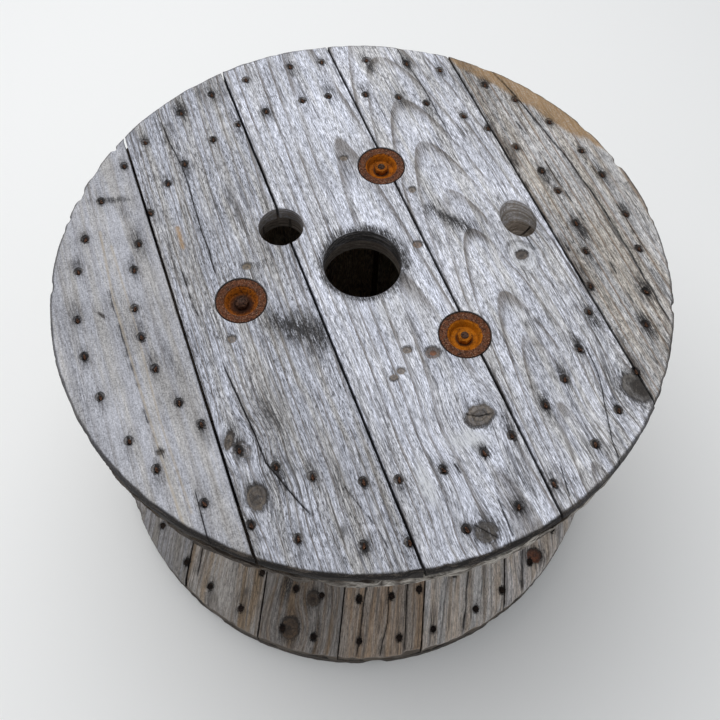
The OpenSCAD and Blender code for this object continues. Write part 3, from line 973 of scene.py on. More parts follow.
def makeFace(turn, up, level, slot, flange, **changes):
    along = grainVector(turn)
    across = along.cross(up)
    face = {**faceDefaults, **changes, "along": along, "up": up, "level": level, "slot": slot}
    face["nails"] = [toFace(face, centre) for ring in ("rim", "mid")
                     for centre, low, high in islandPlaces(f"{flange}_{ring}_nails")]
    face["seats"] = [faceSeat(face, f"{flange}_washer_{k}") for k in (1, 2, 3) if slot != "inside_board"]
    face["front"] = (-across.y, -along.y)
    face["frayed"] = (across.dot(frayedSide), along.dot(frayedSide))
    return face


topFace = makeFace(
    grainTurns["top"], upZ, cadHigh.z, "weathered_board", "upper", edge=(0.016, 0.0142, 0.0135),
    acrossStep=1.25, alongStep=2.2, rimStep=1.5, wallCuts=(0.7, 1.5, 2.6, 4.2, 7.0, 12.0, 16.5, 17.4),
    rimWear=3.4, rimRough=1.1, rimFade=0.72, rimShade=0.85, chips=34, recess=2.0, frontWear=0.6, backWear=1.0,
    boreWear=2.2, boreStain=14, boreShade=0.3, holeBrown=1.0, holeShade=0.25, haloStrength=1.0)
underTop = makeFace(
    grainTurns["underTop"], -upZ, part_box("upper_inner_board_3")[0].z, "inside_board", "upper",
    edge=(0.035, 0.027, 0.021),
    acrossStep=3.0, alongStep=7.0, rimStep=2.5, wallCuts=(0.6, 1.3, 2.6, 5.5, 9.0, 13.0, 15.2),
    rimWear=1.8, rimRough=2.2, rimFade=0.2, rimPale=0.75, chips=50, seamWear=0.8,
    boreShade=0.6, backShade=0.9, holeBrown=0.6)
lowerFace = makeFace(
    grainTurns["lower"], upZ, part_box("lower_inner_board_3")[1].z, "inside_board", "lower",
    edge=(0.10, 0.082, 0.066),
    look=dict(low=0.66, high=1.24, bandShare=0.95, lineShare=0.6, poreShare=0.45, pitSize=3.4),
    acrossStep=2.2, alongStep=4.6, rimStep=2.4, wallCuts=(0.6, 1.4, 3.0, 6.0, 10.0, 14.0, 15.3),
    rimWear=1.8, rimRough=2.0, rimFade=0.15, chips=50, haloStrength=0.45)
floorSide = makeFace(
    grainTurns["floor"], -upZ, cadLow.z, "floor_board", "lower", edge=(0.045, 0.04, 0.036),
    acrossStep=3.0, alongStep=7.0, rimStep=2.5, wallCuts=(0.7, 1.6, 3.2, 6.0, 10.0, 14.0, 17.2),
    rimWear=2.6, rimRough=1.4, rimFade=0.3, rimShade=0.75, chips=40, boreWear=1.5)

# what each board of the top shows: at is across and along the boards from the drum's axis, in mm
# pith is where the tree's middle lies across the board, and taper and archAt shape the arches in its grain
topBoards = [
    dict(
        pith=-150, pithDepth=60, taper=0.02, ridge=0.12, sway=3, haloShare=0.6,
        look=dict(silver=(0.415, 0.42, 0.458), warm=(0.41, 0.39, 0.363), fresh=(0.40, 0.34, 0.26),
                  lineShare=0.3, bandShare=0.6, poreShare=0.34, fuzz=1.5, spacing=11.0, low=0.8, high=1.13,
                  calm=0.65),
        cracks=[
            dict(points=((-250, 69), (-249, 5), (-247, -91), (-240, -151)), width=0.4, depth=0.8, dashed=True,
                 dark=0.9),
            dict(points=((-223, -171), (-224, -213), (-224, -224)), width=0.7, depth=3.5, open=True)],
        resin=[
            dict(points=((-243, 130), (-248, 45), (-246, -49), (-243, -143), (-240, -205)), width=1.1,
                 strength=0.8),
            dict(points=((-236, 110), (-234, 4), (-236, -95), (-231, -190)), width=1.1, strength=0.65)],
        stains=[
            dict(at=(-219, 166), size=(24, 6), turn=-16, strength=0.75),
            dict(at=(-215, 150), size=(7, 20), strength=0.4),
            dict(at=(-300, 0), size=(8, 90), strength=0.3),
            dict(at=(-212, -35), size=(6, 38), turn=8, strength=0.45)],
        pits=[
            dict(at=(-243, -127), size=(3.4, 2.4), depth=0.8, core=(0.13, 0.11, 0.09)),
            dict(at=(-262, 30), size=(1.3, 4.2), turn=30, depth=0.6, core=(0.08, 0.07, 0.065))]),
    dict(
        pith=-34, pithDepth=40, taper=0.04, archAt=-300, ridge=0.5, sway=5,
        look=dict(spacing=6.0, torn=(0.24, 0.20, 0.16), silver=(0.455, 0.47, 0.53), warm=(0.385, 0.365, 0.33),
                  bandShare=0.6, poreShare=0.75, lineShare=0.75),
        cracks=[
            dict(points=((-148, 262), (-141, 189), (-143, 110), (-144, 31)), width=0.9, depth=4),
            dict(points=((-166, -58), (-162, -100), (-158, -142), (-157, -169), (-145, -202), (-132, -232)),
                 width=1.2, depth=6),
            dict(points=((-176, 60), (-174, -20)), width=0.6, depth=2, dashed=True),
            dict(points=((-100, -210), (-84, -262), (-80, -298)), width=0.5, depth=1.5, open=True,
                 dashed=True, dark=0.7)],
        knots=[
            dict(at=(-174, -196), size=(9, 12), turn=-12, strength=0.92, core=(0.13, 0.105, 0.082),
                 outline=0.85, halo=0.55, depth=0.5),
            dict(at=(-182, -137), size=(4, 9), turn=-30, strength=0.9, outline=0.8, halo=0.6, depth=1.4),
            dict(at=(-172, -150), size=(6, 9), turn=20, strength=0.5, outline=0.5, halo=0.25, depth=0.6)],
        pits=[
            dict(at=(-112, 37), size=(5, 4), depth=0.8, outline=0.6, core=(0.3, 0.24, 0.17)),
            dict(at=(-150, -38), size=(4.2, 4.2), depth=0.8)],
        stains=[
            dict(at=(-112, -34), size=(14, 11), strength=0.55),
            dict(at=(-88, -48), size=(40, 17), turn=-38, strength=1.0),
            dict(at=(-70, -62), size=(16, 25), strength=1.0),
            dict(at=(-104, -20), size=(16, 10), strength=0.5),
            dict(at=(-128, 6), size=(10, 34), strength=0.3),
            dict(at=(-140, -128), size=(9, 30), turn=14, strength=0.5),
            dict(at=(-104, 37), size=(22, 4), turn=-20, strength=0.45),
            dict(at=(-166, 95), size=(4, 30), strength=0.25)],
        resin=[dict(points=((-166, 108), (-167, 82)), width=2.2, strength=0.9)]),
    dict(
        pith=34, pithDepth=45, taper=0.04, archAt=-260, ridge=0.35, sway=4,
        look=dict(spacing=8.5, torn=(0.24, 0.20, 0.16), silver=(0.60, 0.62, 0.70), warm=(0.49, 0.47, 0.43),
                  lineShare=0.78, bandShare=0.35, poreShare=0.55),
        cracks=[
            dict(points=((30, -188), (40, -194), (54, -196)), width=0.7, depth=2.5, sway=1.5),
            dict(points=((1, -228), (3, -240)), width=1.1, depth=3),
            dict(points=((35, -222), (28, -236)), width=1.1, depth=3),
            dict(points=((24, -270), (22, -306)), width=0.7, depth=3, open=True),
            dict(points=((-6, -284), (10, -303)), width=0.6, depth=1.5)],
        knots=[
            dict(at=(42, -194), size=(14, 10.5), turn=190, strength=0.9, outline=0.9, halo=0.3, depth=0.5,
                 core=(0.20, 0.165, 0.13)),
            dict(at=(2, -294), size=(10, 9), strength=0.85, outline=0.6, halo=0.85, depth=0.4,
                 core=(0.11, 0.098, 0.085), ring=(0.24, 0.22, 0.2), rings=3.0, split=0.0)],
        pits=[
            dict(at=(5, -108), size=(4.6, 3.8), depth=1.0),
            dict(at=(27, -119), size=(7.6, 6.6), depth=1.6, core=(0.17, 0.12, 0.09)),
            dict(at=(27.5, -119), size=(3.4, 2.8), depth=0.3, core=(0.25, 0.10, 0.045), outline=0.3,
                 hollow=0.0),
            dict(at=(-18, -131), size=(3.8, 3.4), depth=0.7, turn=180),
            dict(at=(-9, -127), size=(4.2, 3.6), depth=0.6, outline=0.6),
            dict(at=(30, 136), size=(4.4, 3.6), depth=0.6),
            dict(at=(62, 2), size=(4.6, 4.6), depth=1.2, core=(0.26, 0.17, 0.11))],
        palePatches=[
            dict(at=(24, -212), size=(17, 9), turn=-10, strength=0.9),
            dict(at=(-30, -240), size=(6, 22), strength=0.9),
            dict(at=(10, -60), size=(26, 12), turn=12, strength=0.3)],
        stains=[
            dict(at=(48, -262), size=(15, 24), strength=0.32),
            dict(at=(-48, -200), size=(9, 26), strength=0.4),
            dict(at=(-46, 90), size=(8, 40), strength=0.25), dict(at=(56, 40), size=(7, 22), strength=0.3)]),
    dict(
        pith=118, pithDepth=12, taper=0.12, archAt=-320, ridge=0.4, sway=5,
        look=dict(spacing=8.0, torn=(0.24, 0.20, 0.16), silver=(0.605, 0.62, 0.69), warm=(0.51, 0.49, 0.45),
                  lineShare=0.78, bandShare=0.55, poreShare=0.55),
        cracks=[
            dict(points=((147, 292), (153, 217), (154, 178), (153, 127)), width=0.8, depth=4, open=True),
            dict(points=((169, -160), (166, -194), (156, -225), (145, -259), (140, -290)), width=0.8, depth=4,
                 open=True),
            dict(points=((90, -262), (84, -292)), width=0.7, depth=3, open=True),
            dict(points=((172, -22), (174, -47)), width=0.7, depth=3, open=True)],
        knots=[
            dict(at=(158, -47), size=(6.5, 5.5), strength=0.95, outline=0.95, halo=0.25, depth=1.0,
                 core=(0.13, 0.105, 0.088)),
            dict(at=(157, -50), size=(15, 20), strength=0.0, outline=0.5, depth=0, bend=False),
            dict(at=(194, -219), size=(13, 16), strength=0.85, outline=0.8, halo=0.75, depth=0.6,
                 core=(0.13, 0.118, 0.105), rings=3.4, turn=200),
            dict(at=(198, -222), size=(7.5, 10), strength=0.95, outline=0.5, depth=0.4,
                 core=(0.045, 0.04, 0.036), turn=20, bend=False)],
        stains=[
            dict(at=(108, 18), size=(38, 9), turn=-52, strength=0.95),
            dict(at=(92, 40), size=(12, 10), strength=0.85),
            dict(at=(122, 2), size=(16, 14), strength=0.5),
            dict(at=(190, -160), size=(9, 46), strength=0.35),
            dict(at=(120, -150), size=(16, 26), strength=0.25),
            dict(at=(100, -280), size=(30, 8), strength=0.35)],
        palePatches=[dict(at=(158, -47), size=(17, 24), strength=0.45)],
        pits=[dict(at=(84, 70), size=(4, 4), depth=0.6)]),
    dict(
        pith=330, pithDepth=70, taper=0.01, ridge=0.45, sway=3,
        look=dict(spacing=6.5, silver=(0.47, 0.465, 0.47), warm=(0.44, 0.40, 0.35), line=(0.20, 0.13, 0.08),
                  lineShare=0.75, bandShare=0.8, poreShare=0.6, fuzz=0.9, fresh=(0.31, 0.19, 0.083)),
        cracks=[
            dict(points=((240, 204), (246, 175), (262, 60), (266, -12), (264, -100), (260, -181)), width=1.4,
                 depth=6, open=True),
            dict(points=((231, 150), (238, 60), (240, -60), (238, -150)), width=0.7, depth=2.5, dashed=True),
            dict(points=((281, 60), (283, -20), (281, -90)), width=0.6, depth=2, dashed=True)],
        torn=[
            dict(at=(206, 88), size=(7, 42), turn=4, depth=4.0), dict(at=(206, -78), size=(7, 44), depth=4.5),
            dict(at=(204, 10), size=(3, 40), depth=2.5), dict(at=(205, -190), size=(4, 40), depth=3.0)],
        stains=[
            dict(at=(219, 150), size=(11, 90), strength=0.3),
            dict(at=(216, 214), size=(12, 34), strength=0.4),
            dict(at=(262, 118), size=(10, 26), strength=0.3),
            dict(at=(218, 120), size=(10, 28), strength=0.4),
            dict(at=(216, -70), size=(9, 60), strength=0.35),
            dict(at=(272, -130), size=(9, 60), strength=0.35),
            dict(at=(246, -195), size=(12, 20), strength=0.4)],
        freshPatch=dict(toward=29.6, start=289))]

undersideWood = dict(pale=(0.60, 0.56, 0.50), layer=(0.11, 0.085, 0.064), torn=(0.12, 0.08, 0.055))
undersideLooks = [
    dict(undersideWood, silver=(0.396, 0.356, 0.317), warm=(0.356, 0.284, 0.211)),
    dict(undersideWood, silver=(0.356, 0.317, 0.277), warm=(0.33, 0.264, 0.198))]
lowerBoards = [
    dict(look=dict(silver=(0.356, 0.35, 0.363), warm=(0.317, 0.297, 0.277)), pith=-300, pithDepth=70),
    dict(look=dict(silver=(0.40, 0.375, 0.355), warm=(0.32, 0.235, 0.155)), pith=-150, pithDepth=60,
         cracks=[dict(points=((-178, -150), (-176, -238)), width=0.9, depth=4, open=True)]),
    dict(look=dict(silver=(0.31, 0.29, 0.275), warm=(0.25, 0.18, 0.12)), pith=-42, pithDepth=25, sway=14,
         knots=[dict(at=(-53, -287), size=(11, 13), strength=0.9, outline=0.95, halo=0.55, depth=0.8,
                     core=(0.12, 0.08, 0.052)),
                dict(at=(-29, -250), size=(8, 9), strength=0.8, outline=0.9, halo=0.8, depth=0.3,
                     core=(0.11, 0.075, 0.05))],
         stains=[dict(at=(-62, -230), size=(9, 34), strength=0.8),
                 dict(at=(-20, -290), size=(6, 40), strength=0.5)]),
    dict(look=dict(silver=(0.43, 0.375, 0.33), warm=(0.43, 0.31, 0.215), lineShare=0.6), pith=60,
         pithDepth=50,
         cracks=[dict(points=((38, -170), (34, -240), (30, -312)), width=0.7, depth=5, open=True),
                 dict(points=((62, -190), (64, -260), (58, -308)), width=0.6, depth=4, open=True),
                 dict(points=((84, -200), (86, -300)), width=0.7, depth=3, open=True)]),
    # painted light: boards 5 and 6 are much lighter than the others, to make up for the shade the upper
    # flange casts on them
    dict(look=dict(silver=(0.69, 0.67, 0.66), warm=(0.63, 0.53, 0.44)), pith=150, pithDepth=60,
         cracks=[dict(points=((160, -190), (156, -270)), width=0.8, depth=4, open=True)]),
    dict(look=dict(silver=(0.74, 0.71, 0.705), warm=(0.68, 0.58, 0.49)), pith=300, pithDepth=60,
         knots=[dict(at=(242, -169), size=(9, 9), strength=0.95, outline=0.9, halo=0.9, depth=0.5,
                     core=(0.22, 0.08, 0.042), hollow=0.1, split=0.4)],
         cracks=[dict(points=((228, -140), (226, -214)), width=0.8, depth=4, open=True)])]


def makeFlangeBoards(prefix, face, boards, name, seed):
    for k, board in enumerate(boards, start=1):
        look = {"spacing": 5.0, "edge": face["edge"], **face.get("look", {}), **board.get("look", {})}
        board["finish"] = {**woodDefaults, **look}
        knots = board.get("knots", []) + [{**pitLook, **pit} for pit in board.get("pits", [])]
        board["material"] = woodFinish(f"{name}{k}", knots, **look)
        makeBoard(f"{prefix}_{k}", face, board, seed + 100 * k)
    print("boards done:", prefix)


def plainBoards(count, looks):
    boards = []
    width = 2 * drumRadius / count
    for k in range(count):
        middle = -drumRadius + width * (k + 0.5)
        boards.append(dict(look=looks[k % len(looks)], pith=middle + 30 * (-1) ** k,
                           pithDepth=30 + 12 * (k % 3), ridge=0.25))
    return boards


makeFlangeBoards("upper_outer_board", topFace, topBoards, "silveredBoard", 1000)
makeFlangeBoards("upper_inner_board", underTop, plainBoards(6, undersideLooks), "undersideBoard", 3000)
makeFlangeBoards("lower_inner_board", lowerFace, lowerBoards, "shadedBoard", 5000)
makeFlangeBoards("lower_outer_board", floorSide, plainBoards(5, undersideLooks), "floorBoard", 7000)


# the barrel's staves: dry sawn wood that the cable has kept from the weather
staveSetup = dict(
    acrossStep=3.4, alongStep=9.0, wear=1.3, relief=0.35,
    looks=[
        dict(silver=(0.40, 0.33, 0.25), warm=(0.36, 0.27, 0.17), line=(0.22, 0.13, 0.07), spacing=5.5,
             lineShare=0.5, poreShare=0.35),
        dict(silver=(0.36, 0.31, 0.25), warm=(0.34, 0.26, 0.18), line=(0.2, 0.13, 0.08), spacing=4.2,
             lineShare=0.55, poreShare=0.45),
        dict(silver=(0.43, 0.35, 0.26), warm=(0.38, 0.28, 0.18), line=(0.23, 0.14, 0.08), spacing=7.0,
             lineShare=0.4, poreShare=0.3)])


def makeStave(node, material, setup, seed):
    corners = [v.co for v in frame["nodes"][node].data.vertices]
    middle = sum(corners, Vector()) / len(corners)
    up = Vector((middle.x, middle.y, 0)).normalized()
    reach = max(p.dot(up) for p in corners)
    toLocal = localFrame(upZ, up, up * reach + upZ * middle.z)
    bm = plainCopy(node)
    bm.transform(toLocal)
    xs, ys = [v.co.x for v in bm.verts], [v.co.y for v in bm.verts]
    shown = sliceFaces(bm, list(bm.faces), 2, [-4.0, -1.4, -0.6])
    xCuts = evenly(min(xs) + 2, max(xs) - 2, setup["acrossStep"])
    for step in (setup["wear"] * 0.5, setup["wear"]):
        xCuts += [min(xs) + step, max(xs) - step]
    shown = sliceFaces(bm, shown, 0, sorted(xCuts))
    sliceFaces(bm, shown, 1, evenly(min(ys), max(ys), setup["alongStep"]))
    mesh = meshFrom(bm, node)
    x, y, z = meshPoints(mesh)
    flat = x, y, np.clip(-z, 0, None)
    board = dict(pith=20 * (-1) ** seed, pithDepth=25 + 9 * (seed % 4), taper=0.04, archAt=-120, sway=6)
    if seed % 3 == 1:
        board["knots"] = [dict(at=((seed * 7) % 30 - 15, (seed * 53) % 240 - 120), size=(8, 11), outline=0.6,
                               halo=0.3)]
    ring, flow = ringField(x, y, board, seed)
    stain, pale, drop, ring = boardMarks(x, y, ring, board, seed)
    side, deep = np.clip(np.minimum(x - min(xs), max(xs) - x), 0, None), np.clip(-z, 0, None)
    wear = setup["wear"] * (0.6 + 0.9 * softNoise(y / 14, x * 0, seed + 3))
    sideIn, sideDown = wornCorner(side, deep, wear)
    wave = smoothStep(np.sin(2 * pi * ring / 5.0), 0, 0.95)
    z = z - sideDown - (deep < 0.02) * smoothStep(side, 1, 5) * (setup["relief"] * (1 - wave) + 0.4 * drop)
    x = x + np.where(x < 0, 1, -1) * sideIn
    movePoints(mesh, x, y, z)
    # darker towards the stave's two ends and along its two sides
    endsAndSidesDarker = np.exp(-np.minimum(y - min(ys), max(ys) - y) / 22) * 0.35 + np.exp(-side / 1.2) * 0.4
    storeVectors(mesh, "grain", ring, y + seed * 500, flow + seed * 90)
    storeVectors(mesh, "marks", 0, 0, np.clip(np.maximum(stain, endsAndSidesDarker), 0, 1))
    storeVectors(mesh, "flat", *flat)
    storeVectors(mesh, "nail", 99, 99, 0)
    storeVectors(mesh, "wear", 0, 0, pale)
    finishPiece(node, "_dry", mesh, toLocal, material)


staveWood = [woodFinish(f"staveWood{k}", **look) for k, look in enumerate(staveSetup["looks"])]
for k in range(1, 15):
    makeStave(f"stave_{k}", staveWood[(k * 5) % 3], staveSetup, k)
print("staves done")


# a turned shape from its closed or axis-to-axis outline of (radius, height) points
def turnedMesh(outline, steps, closed, roundness=0.0, spacing=None):
    bm = bmesh.new()
    verts = [bm.verts.new((r, 0, z)) for r, z in outline]
    for a, b in zip(verts, verts[1:]):
        bm.edges.new((a, b))
    if closed:
        bm.edges.new((verts[-1], verts[0]))
    if roundness:
        sharp = [v for v in bm.verts if len(v.link_edges) == 2]
        bmesh.ops.bevel(bm, geom=sharp, offset=roundness, segments=3, profile=0.5, material=-1,
                        affect="VERTICES")
    if spacing:
        for edge in list(bm.edges):
            cuts = int(edge.calc_length() / spacing)
            if cuts:
                bmesh.ops.subdivide_edges(bm, edges=[edge], cuts=cuts)
    bmesh.ops.spin(
        bm, geom=bm.verts[:] + bm.edges[:], cent=(0, 0, 0), axis=(0, 0, 1), dvec=(0, 0, 0), angle=2 * pi,
        steps=steps, use_merge=True, use_duplicate=False)
    bmesh.ops.remove_doubles(bm, verts=bm.verts, dist=0.0005)
    bmesh.ops.recalc_face_normals(bm, faces=bm.faces)
    return bm


def rustFinish(name, grainDepth=0.25, **colours):
    material, tree, shader = newFinish(name)
    place = objectPlace(tree)
    rust = useGroup(tree, rustGroup, Place=place, **colours)
    feed(tree, shader.inputs["Base Color"], rust["Color"])
    feed(tree, shader.inputs["Roughness"], rust["Rough"])
    shader.inputs["Metallic"].default_value = 0.0
    shader.inputs["Specular IOR Level"].default_value = 0.12
    addBump(tree, shader, rust["Height"], grainDepth, 0.8)
    return material


# cup washers: a scaly rim round a dished cup that holds the nut, each with its own rust
washerSetup = dict(
    sheet=1.5, cupTop=16.75, cupFloor=13.0, hole=4.4, cupDepth=8.0, steps=72, spacing=1.3, pitting=0.5,
    rims=dict(Brown=(0.105, 0.036, 0.018), Dark=(0.016, 0.010, 0.009), Powder=(0.17, 0.055, 0.016),
              PowderShare=0.25, Fleck=(0.32, 0.22, 0.155), FleckShare=0.65),
    dishes=[
        dict(Brown=(0.18, 0.048, 0.003), Dark=(0.045, 0.012, 0.003), Powder=(0.34, 0.092, 0.002),
             PowderShare=0.75, Fleck=(0.5, 0.22, 0.03), FleckShare=0.35),
        dict(Brown=(0.038, 0.012, 0.005), Dark=(0.008, 0.004, 0.003), Powder=(0.075, 0.02, 0.004),
             PowderShare=0.3, Fleck=(0.2, 0.1, 0.05), FleckShare=0.4),
        dict(Brown=(0.23, 0.068, 0.003), Dark=(0.06, 0.018, 0.003), Powder=(0.38, 0.112, 0.002),
             PowderShare=0.85, Fleck=(0.55, 0.25, 0.04), FleckShare=0.35)],
    rings=(0.0, 0.9, 0.0), orange=(0.36, 0.10, 0.006))


def washerFinish(name, setup, dish, ringShare):
    material, tree, shader = newFinish(name)
    place = objectPlace(tree)
    rim = useGroup(tree, rustGroup, Place=place, **setup["rims"])
    cup = useGroup(tree, rustGroup, Place=place, **dish)
    zones = parts(tree, attribute(tree, "zones"))
    ragged = speckle(tree, place, 0.5, 3)
    inCup = between(tree, plus(tree, zones[0], swing(tree, ragged, 1.1)), 0.42, 0.56)
    ring = times(tree, parts(tree, attribute(tree, "cupRing"))[0],
                 between(tree, ragged, 0.35, 0.55, 0.2, 1.0))
    dished = tint(tree, times(tree, ring, ringShare), cup["Color"], setup["orange"])
    colour = tint(tree, inCup, rim["Color"], dished)
    colour = tint(tree, zones[1], colour, (0.012, 0.009, 0.008))
    # the zones' third part: the painted shadow round the nut, and dark blotches
    colour = tint(tree, times(tree, zones[2], 0.9), colour, (0.035, 0.015, 0.009))
    feed(tree, shader.inputs["Base Color"], colour)
    feed(tree, shader.inputs["Roughness"], rim["Rough"])
    shader.inputs["Specular IOR Level"].default_value = 0.12
    addBump(tree, shader, rim["Height"], 0.45, 0.9)
    return material


def makeWasher(node, up, setup, material, seed):
    low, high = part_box(node)
    rimRadius = (high.x - low.x) / 2 / mm
    face = high.z if up.z > 0 else low.z
    sheet, depth = setup["sheet"], setup["cupDepth"]
    outline = [
        (rimRadius, 0), (setup["cupTop"] + 0.6, 0), (setup["cupFloor"] + 0.6, -depth),
        (setup["hole"], -depth), (setup["hole"], -depth - sheet), (setup["cupFloor"] - 0.4, -depth - sheet),
        (setup["cupTop"] - 0.7, -sheet), (rimRadius, -sheet)]
    bm = turnedMesh(outline, setup["steps"], True, 0.45, setup["spacing"])
    centre = (low + high) / 2
    toLocal = localFrame(grainVector(grainTurns["top"] + 70 * seed), up, Vector((centre.x, centre.y, face)))
    mesh = meshFrom(bm, node)
    x, y, z = meshPoints(mesh)
    r = np.hypot(x, y)
    angle = np.arctan2(y, x)
    pitting = softNoise(x / 1.9, y / 1.9, seed) * 0.6 + softNoise(x / 5, y / 5, seed + 1) * 0.4
    z = z - setup["pitting"] * pitting * (z > -depth - 0.4) * (r < rimRadius - 0.3)
    bite = 0.35 * softNoise(angle * 9, 0 * x, seed + 2) * smoothStep(r, rimRadius - 1.5, rimRadius)
    x, y = x * (1 - bite / np.maximum(r, 1)), y * (1 - bite / np.maximum(r, 1))
    movePoints(mesh, x, y, z)
    cup = 1 - smoothStep(r, setup["cupTop"] - 1.2, setup["cupTop"] + 2.2)
    outlineDark = smoothStep(r, rimRadius - 1.7, rimRadius - 0.5)
    # painted shadow: the cup's floor right round the nut is darkened as the nut's shadow, with a few random
    # dark blotches as well
    nutShadowAndBlotches = 1.2 * (1 - smoothStep(r, 7.6, 9.6)) * (z < -5)
    nutShadowAndBlotches = nutShadowAndBlotches + 0.3 * smoothStep(softNoise(x / 6, y / 6, seed + 4), 0.55, 0.8)
    storeVectors(mesh, "zones", cup, outlineDark, np.clip(nutShadowAndBlotches, 0, 1))
    storeVectors(mesh, "cupRing", np.exp(-((r - setup["cupTop"] + 2) / 2.6) ** 2), 0, 0)
    finishPiece(node, "_rusted", mesh, toLocal, material)


for k, (dish, ringShare) in enumerate(zip(washerSetup["dishes"], washerSetup["rings"]), start=1):
    finish = washerFinish(f"washerRust{k}", washerSetup, dish, ringShare)
    makeWasher(f"upper_washer_{k}", upZ, washerSetup, finish, k)
    makeWasher(f"lower_washer_{k}", -upZ, washerSetup, finish, k + 10)

# nuts and tie rods
nutSetup = dict(
    flats=13.0, hole=4.0, chamfer=0.35, steps=48, turns=(12, 40, 75),
    rusts=[dict(PowderShare=0.4), dict(Brown=(0.04, 0.018, 0.011), PowderShare=0.1), dict(PowderShare=0.5)])
rodSetup = dict(pitch=1.25, threadDepth=0.7, threadLength=24.0, steps=28)
rodRust = rustFinish("rodRust", Brown=(0.045, 0.022, 0.016), Dark=(0.012, 0.009, 0.008),
                     Powder=(0.10, 0.04, 0.02), PowderShare=0.15, Fleck=(0.2, 0.13, 0.09))


def makeNut(node, setup, turn, material):
    low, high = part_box(node)
    height = (high.z - low.z) / mm
    flat = setup["flats"] / 2
    corner = flat / cos(pi / 6)
    cut = (corner - flat) * setup["chamfer"] * 2
    outline = [(setup["hole"], 0), (flat, 0), (corner, cut), (corner, height - cut), (flat, height),
               (setup["hole"], height)]
    bm = turnedMesh(outline, setup["steps"], True)
    for vert in bm.verts:                    # the turned side becomes six flats
        r = vert.co.xy.length
        if r > flat:
            angle = np.arctan2(vert.co.y, vert.co.x) % (pi / 3) - pi / 6
            vert.co.xy *= min(r, flat / cos(angle)) / r
    mesh = meshFrom(bm, node)
    centre = (low + high) / 2
    toLocal = localFrame(grainVector(turn), upZ, Vector((centre.x, centre.y, low.z)))
    finishPiece(node, "_hex", mesh, toLocal, material)


def makeRod(node, setup, material):
    low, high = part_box(node)
    radius, length = (high.x - low.x) / 2 / mm, (high.z - low.z) / mm
    root = radius - setup["threadDepth"]
    thread = [(0, 0), (root, 0)]
    turns = int(setup["threadLength"] / setup["pitch"])
    for k in range(turns):
        thread += [(radius, (k + 0.75) * setup["pitch"]), (root, (k + 1.25) * setup["pitch"])]
    outline = thread + [(r, length - z) for r, z in reversed(thread)]
    bm = turnedMesh(outline, setup["steps"], False)
    mesh = meshFrom(bm, node)
    centre = (low + high) / 2
    toLocal = localFrame(grainVector(0), upZ, Vector((centre.x, centre.y, low.z)))
    finishPiece(node, "_threaded", mesh, toLocal, material)


for k, turn in enumerate(nutSetup["turns"], start=1):
    nutRust = rustFinish(f"nutRust{k}", **{**washerSetup["dishes"][k - 1], **nutSetup["rusts"][k - 1]})
    makeNut(f"upper_nut_{k}", nutSetup, turn, nutRust)
    makeNut(f"lower_nut_{k}", nutSetup, turn + 25, nutRust)
    makeRod(f"tie_rod_{k}", rodSetup, rodRust)
print("washers, nuts and rods done")

# nails: a flat head in the flange's inner face and a clinched, rusted-through point in its outer one
nailSetup = dict(shank=1.7, head=3.4, headThick=1.3, lobe=(1.9, 1.15, 0.75), lobeGap=1.35)
nailRust = rustFinish("nailRust", Brown=(0.055, 0.026, 0.016), Dark=(0.012, 0.009, 0.008),
                      Powder=(0.16, 0.055, 0.016), PowderShare=0.1, Fleck=(0.3, 0.18, 0.12))
headRust = rustFinish("headRust", Brown=(0.012, 0.008, 0.007), Dark=(0.004, 0.0035, 0.0035),
                      Powder=(0.04, 0.02, 0.012), PowderShare=0.12, Fleck=(0.06, 0.045, 0.035))


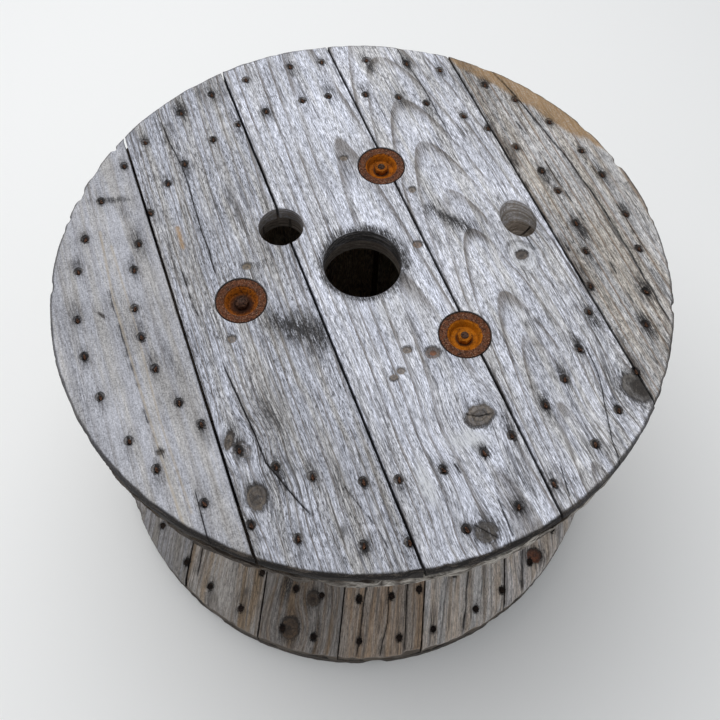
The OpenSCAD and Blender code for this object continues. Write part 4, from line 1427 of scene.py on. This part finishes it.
def addNail(bm, centre, low, high, pointUp, grain, setup, dice):
    length = (high - low) / mm
    first = len(bm.verts)
    made = bmesh.ops.create_cone(
        bm, cap_ends=True, segments=8, radius1=setup["shank"], radius2=setup["shank"] * 0.9,
        depth=length - 2.2)
    bmesh.ops.translate(bm, verts=made["verts"], vec=(0, 0, length / 2 - 0.2))
    made = bmesh.ops.create_cone(
        bm, cap_ends=True, segments=14, radius1=setup["head"], radius2=setup["head"] * 0.92,
        depth=setup["headThick"])
    bmesh.ops.translate(bm, verts=made["verts"], vec=(0, 0, setup["headThick"] / 2))
    for side in (-1, 1):
        made = bmesh.ops.create_icosphere(bm, subdivisions=1, radius=1.0)
        a, b, c = setup["lobe"]
        bmesh.ops.scale(bm, verts=made["verts"],
                        vec=(b * dice.uniform(0.8, 1.1), a * dice.uniform(0.75, 1.1), c))
        for vert in made["verts"]:
            vert.co *= 1 + 0.12 * (dice.random() - 0.5)
        bmesh.ops.rotate(
            bm, verts=made["verts"], cent=(0, 0, 0), matrix=Matrix.Rotation(dice.uniform(-0.5, 0.5), 3, "Z"))
        bmesh.ops.translate(
            bm, verts=made["verts"],
            vec=(dice.uniform(-0.3, 0.3), side * setup["lobeGap"], length - c * dice.uniform(1.15, 1.4)))
    verts = bm.verts[:][first:]
    turn = radians(grain - 90) + dice.uniform(-0.45, 0.45)
    bmesh.ops.rotate(bm, verts=verts, cent=(0, 0, 0), matrix=Matrix.Rotation(turn, 3, "Z"))
    if not pointUp:
        bmesh.ops.rotate(bm, verts=verts, cent=(0, 0, length / 2), matrix=Matrix.Rotation(pi, 3, "X"))
    bmesh.ops.translate(bm, verts=verts, vec=(centre.x / mm, centre.y / mm, low / mm))


def makeNails(node, pointUp, grain, setup, material, seed):
    bm = bmesh.new()
    dice = np.random.default_rng(seed)
    for centre, low, high in islandPlaces(node):
        addNail(bm, centre, low, high, pointUp, grain, setup, dice)
    mesh = meshFrom(bm, node)
    finishPiece(node, "_clinched", mesh, Matrix.Scale(1 / mm, 4), material)


for k, ring in enumerate(("rim", "mid")):
    makeNails(f"upper_{ring}_nails", True, grainTurns["top"], nailSetup, nailRust, 41 + k)
    makeNails(f"lower_{ring}_nails", False, grainTurns["floor"], nailSetup, headRust, 51 + k)
print("nails done")


def showFloor(setup):
    bm = bmesh.new()
    bmesh.ops.create_grid(bm, x_segments=2, y_segments=2, size=setup["floorSize"] / 2)
    mesh = meshFrom(bm, "floor")
    mesh.transform(Matrix.Translation((0, 0, cadLow.z)))
    floor = addObject("floor", mesh)
    material, tree, shader = newFinish("paleFloor")
    tone = speckle(tree, objectPlace(tree), 1.0, 2)
    shade = tint(tree, between(tree, tone, 0.3, 0.7), setup["floorColour"],
                 [c * setup["floorShade"] for c in setup["floorColour"]])
    feed(tree, shader.inputs["Base Color"], shade)
    shader.inputs["Roughness"].default_value = 0.9
    mesh.materials.append(material)


def lightScene(setup):
    world = bpy.data.worlds.new("sky")
    bpy.context.scene.world = world
    world.use_nodes = True
    background = world.node_tree.nodes["Background"]
    feed(world.node_tree, background.inputs["Color"], setup["sky"])
    background.inputs["Strength"].default_value = setup["skyStrength"]
    target = Vector((0, 0, cadHigh.z))
    x, y = setup["softboxOffset"]
    addSoftbox("softbox", setup["softboxSize"], setup["softboxPower"], Vector((x, y, setup["softboxHeight"])),
               target)
    addSoftbox("frontFill", setup["fillSize"], setup["fillPower"], Vector(setup["fillPlace"]), target * 0.5)
    bpy.context.scene.view_settings.view_transform = "Standard"


showFloor(lightSetup)
lightScene(lightSetup)
print("floor and light done")
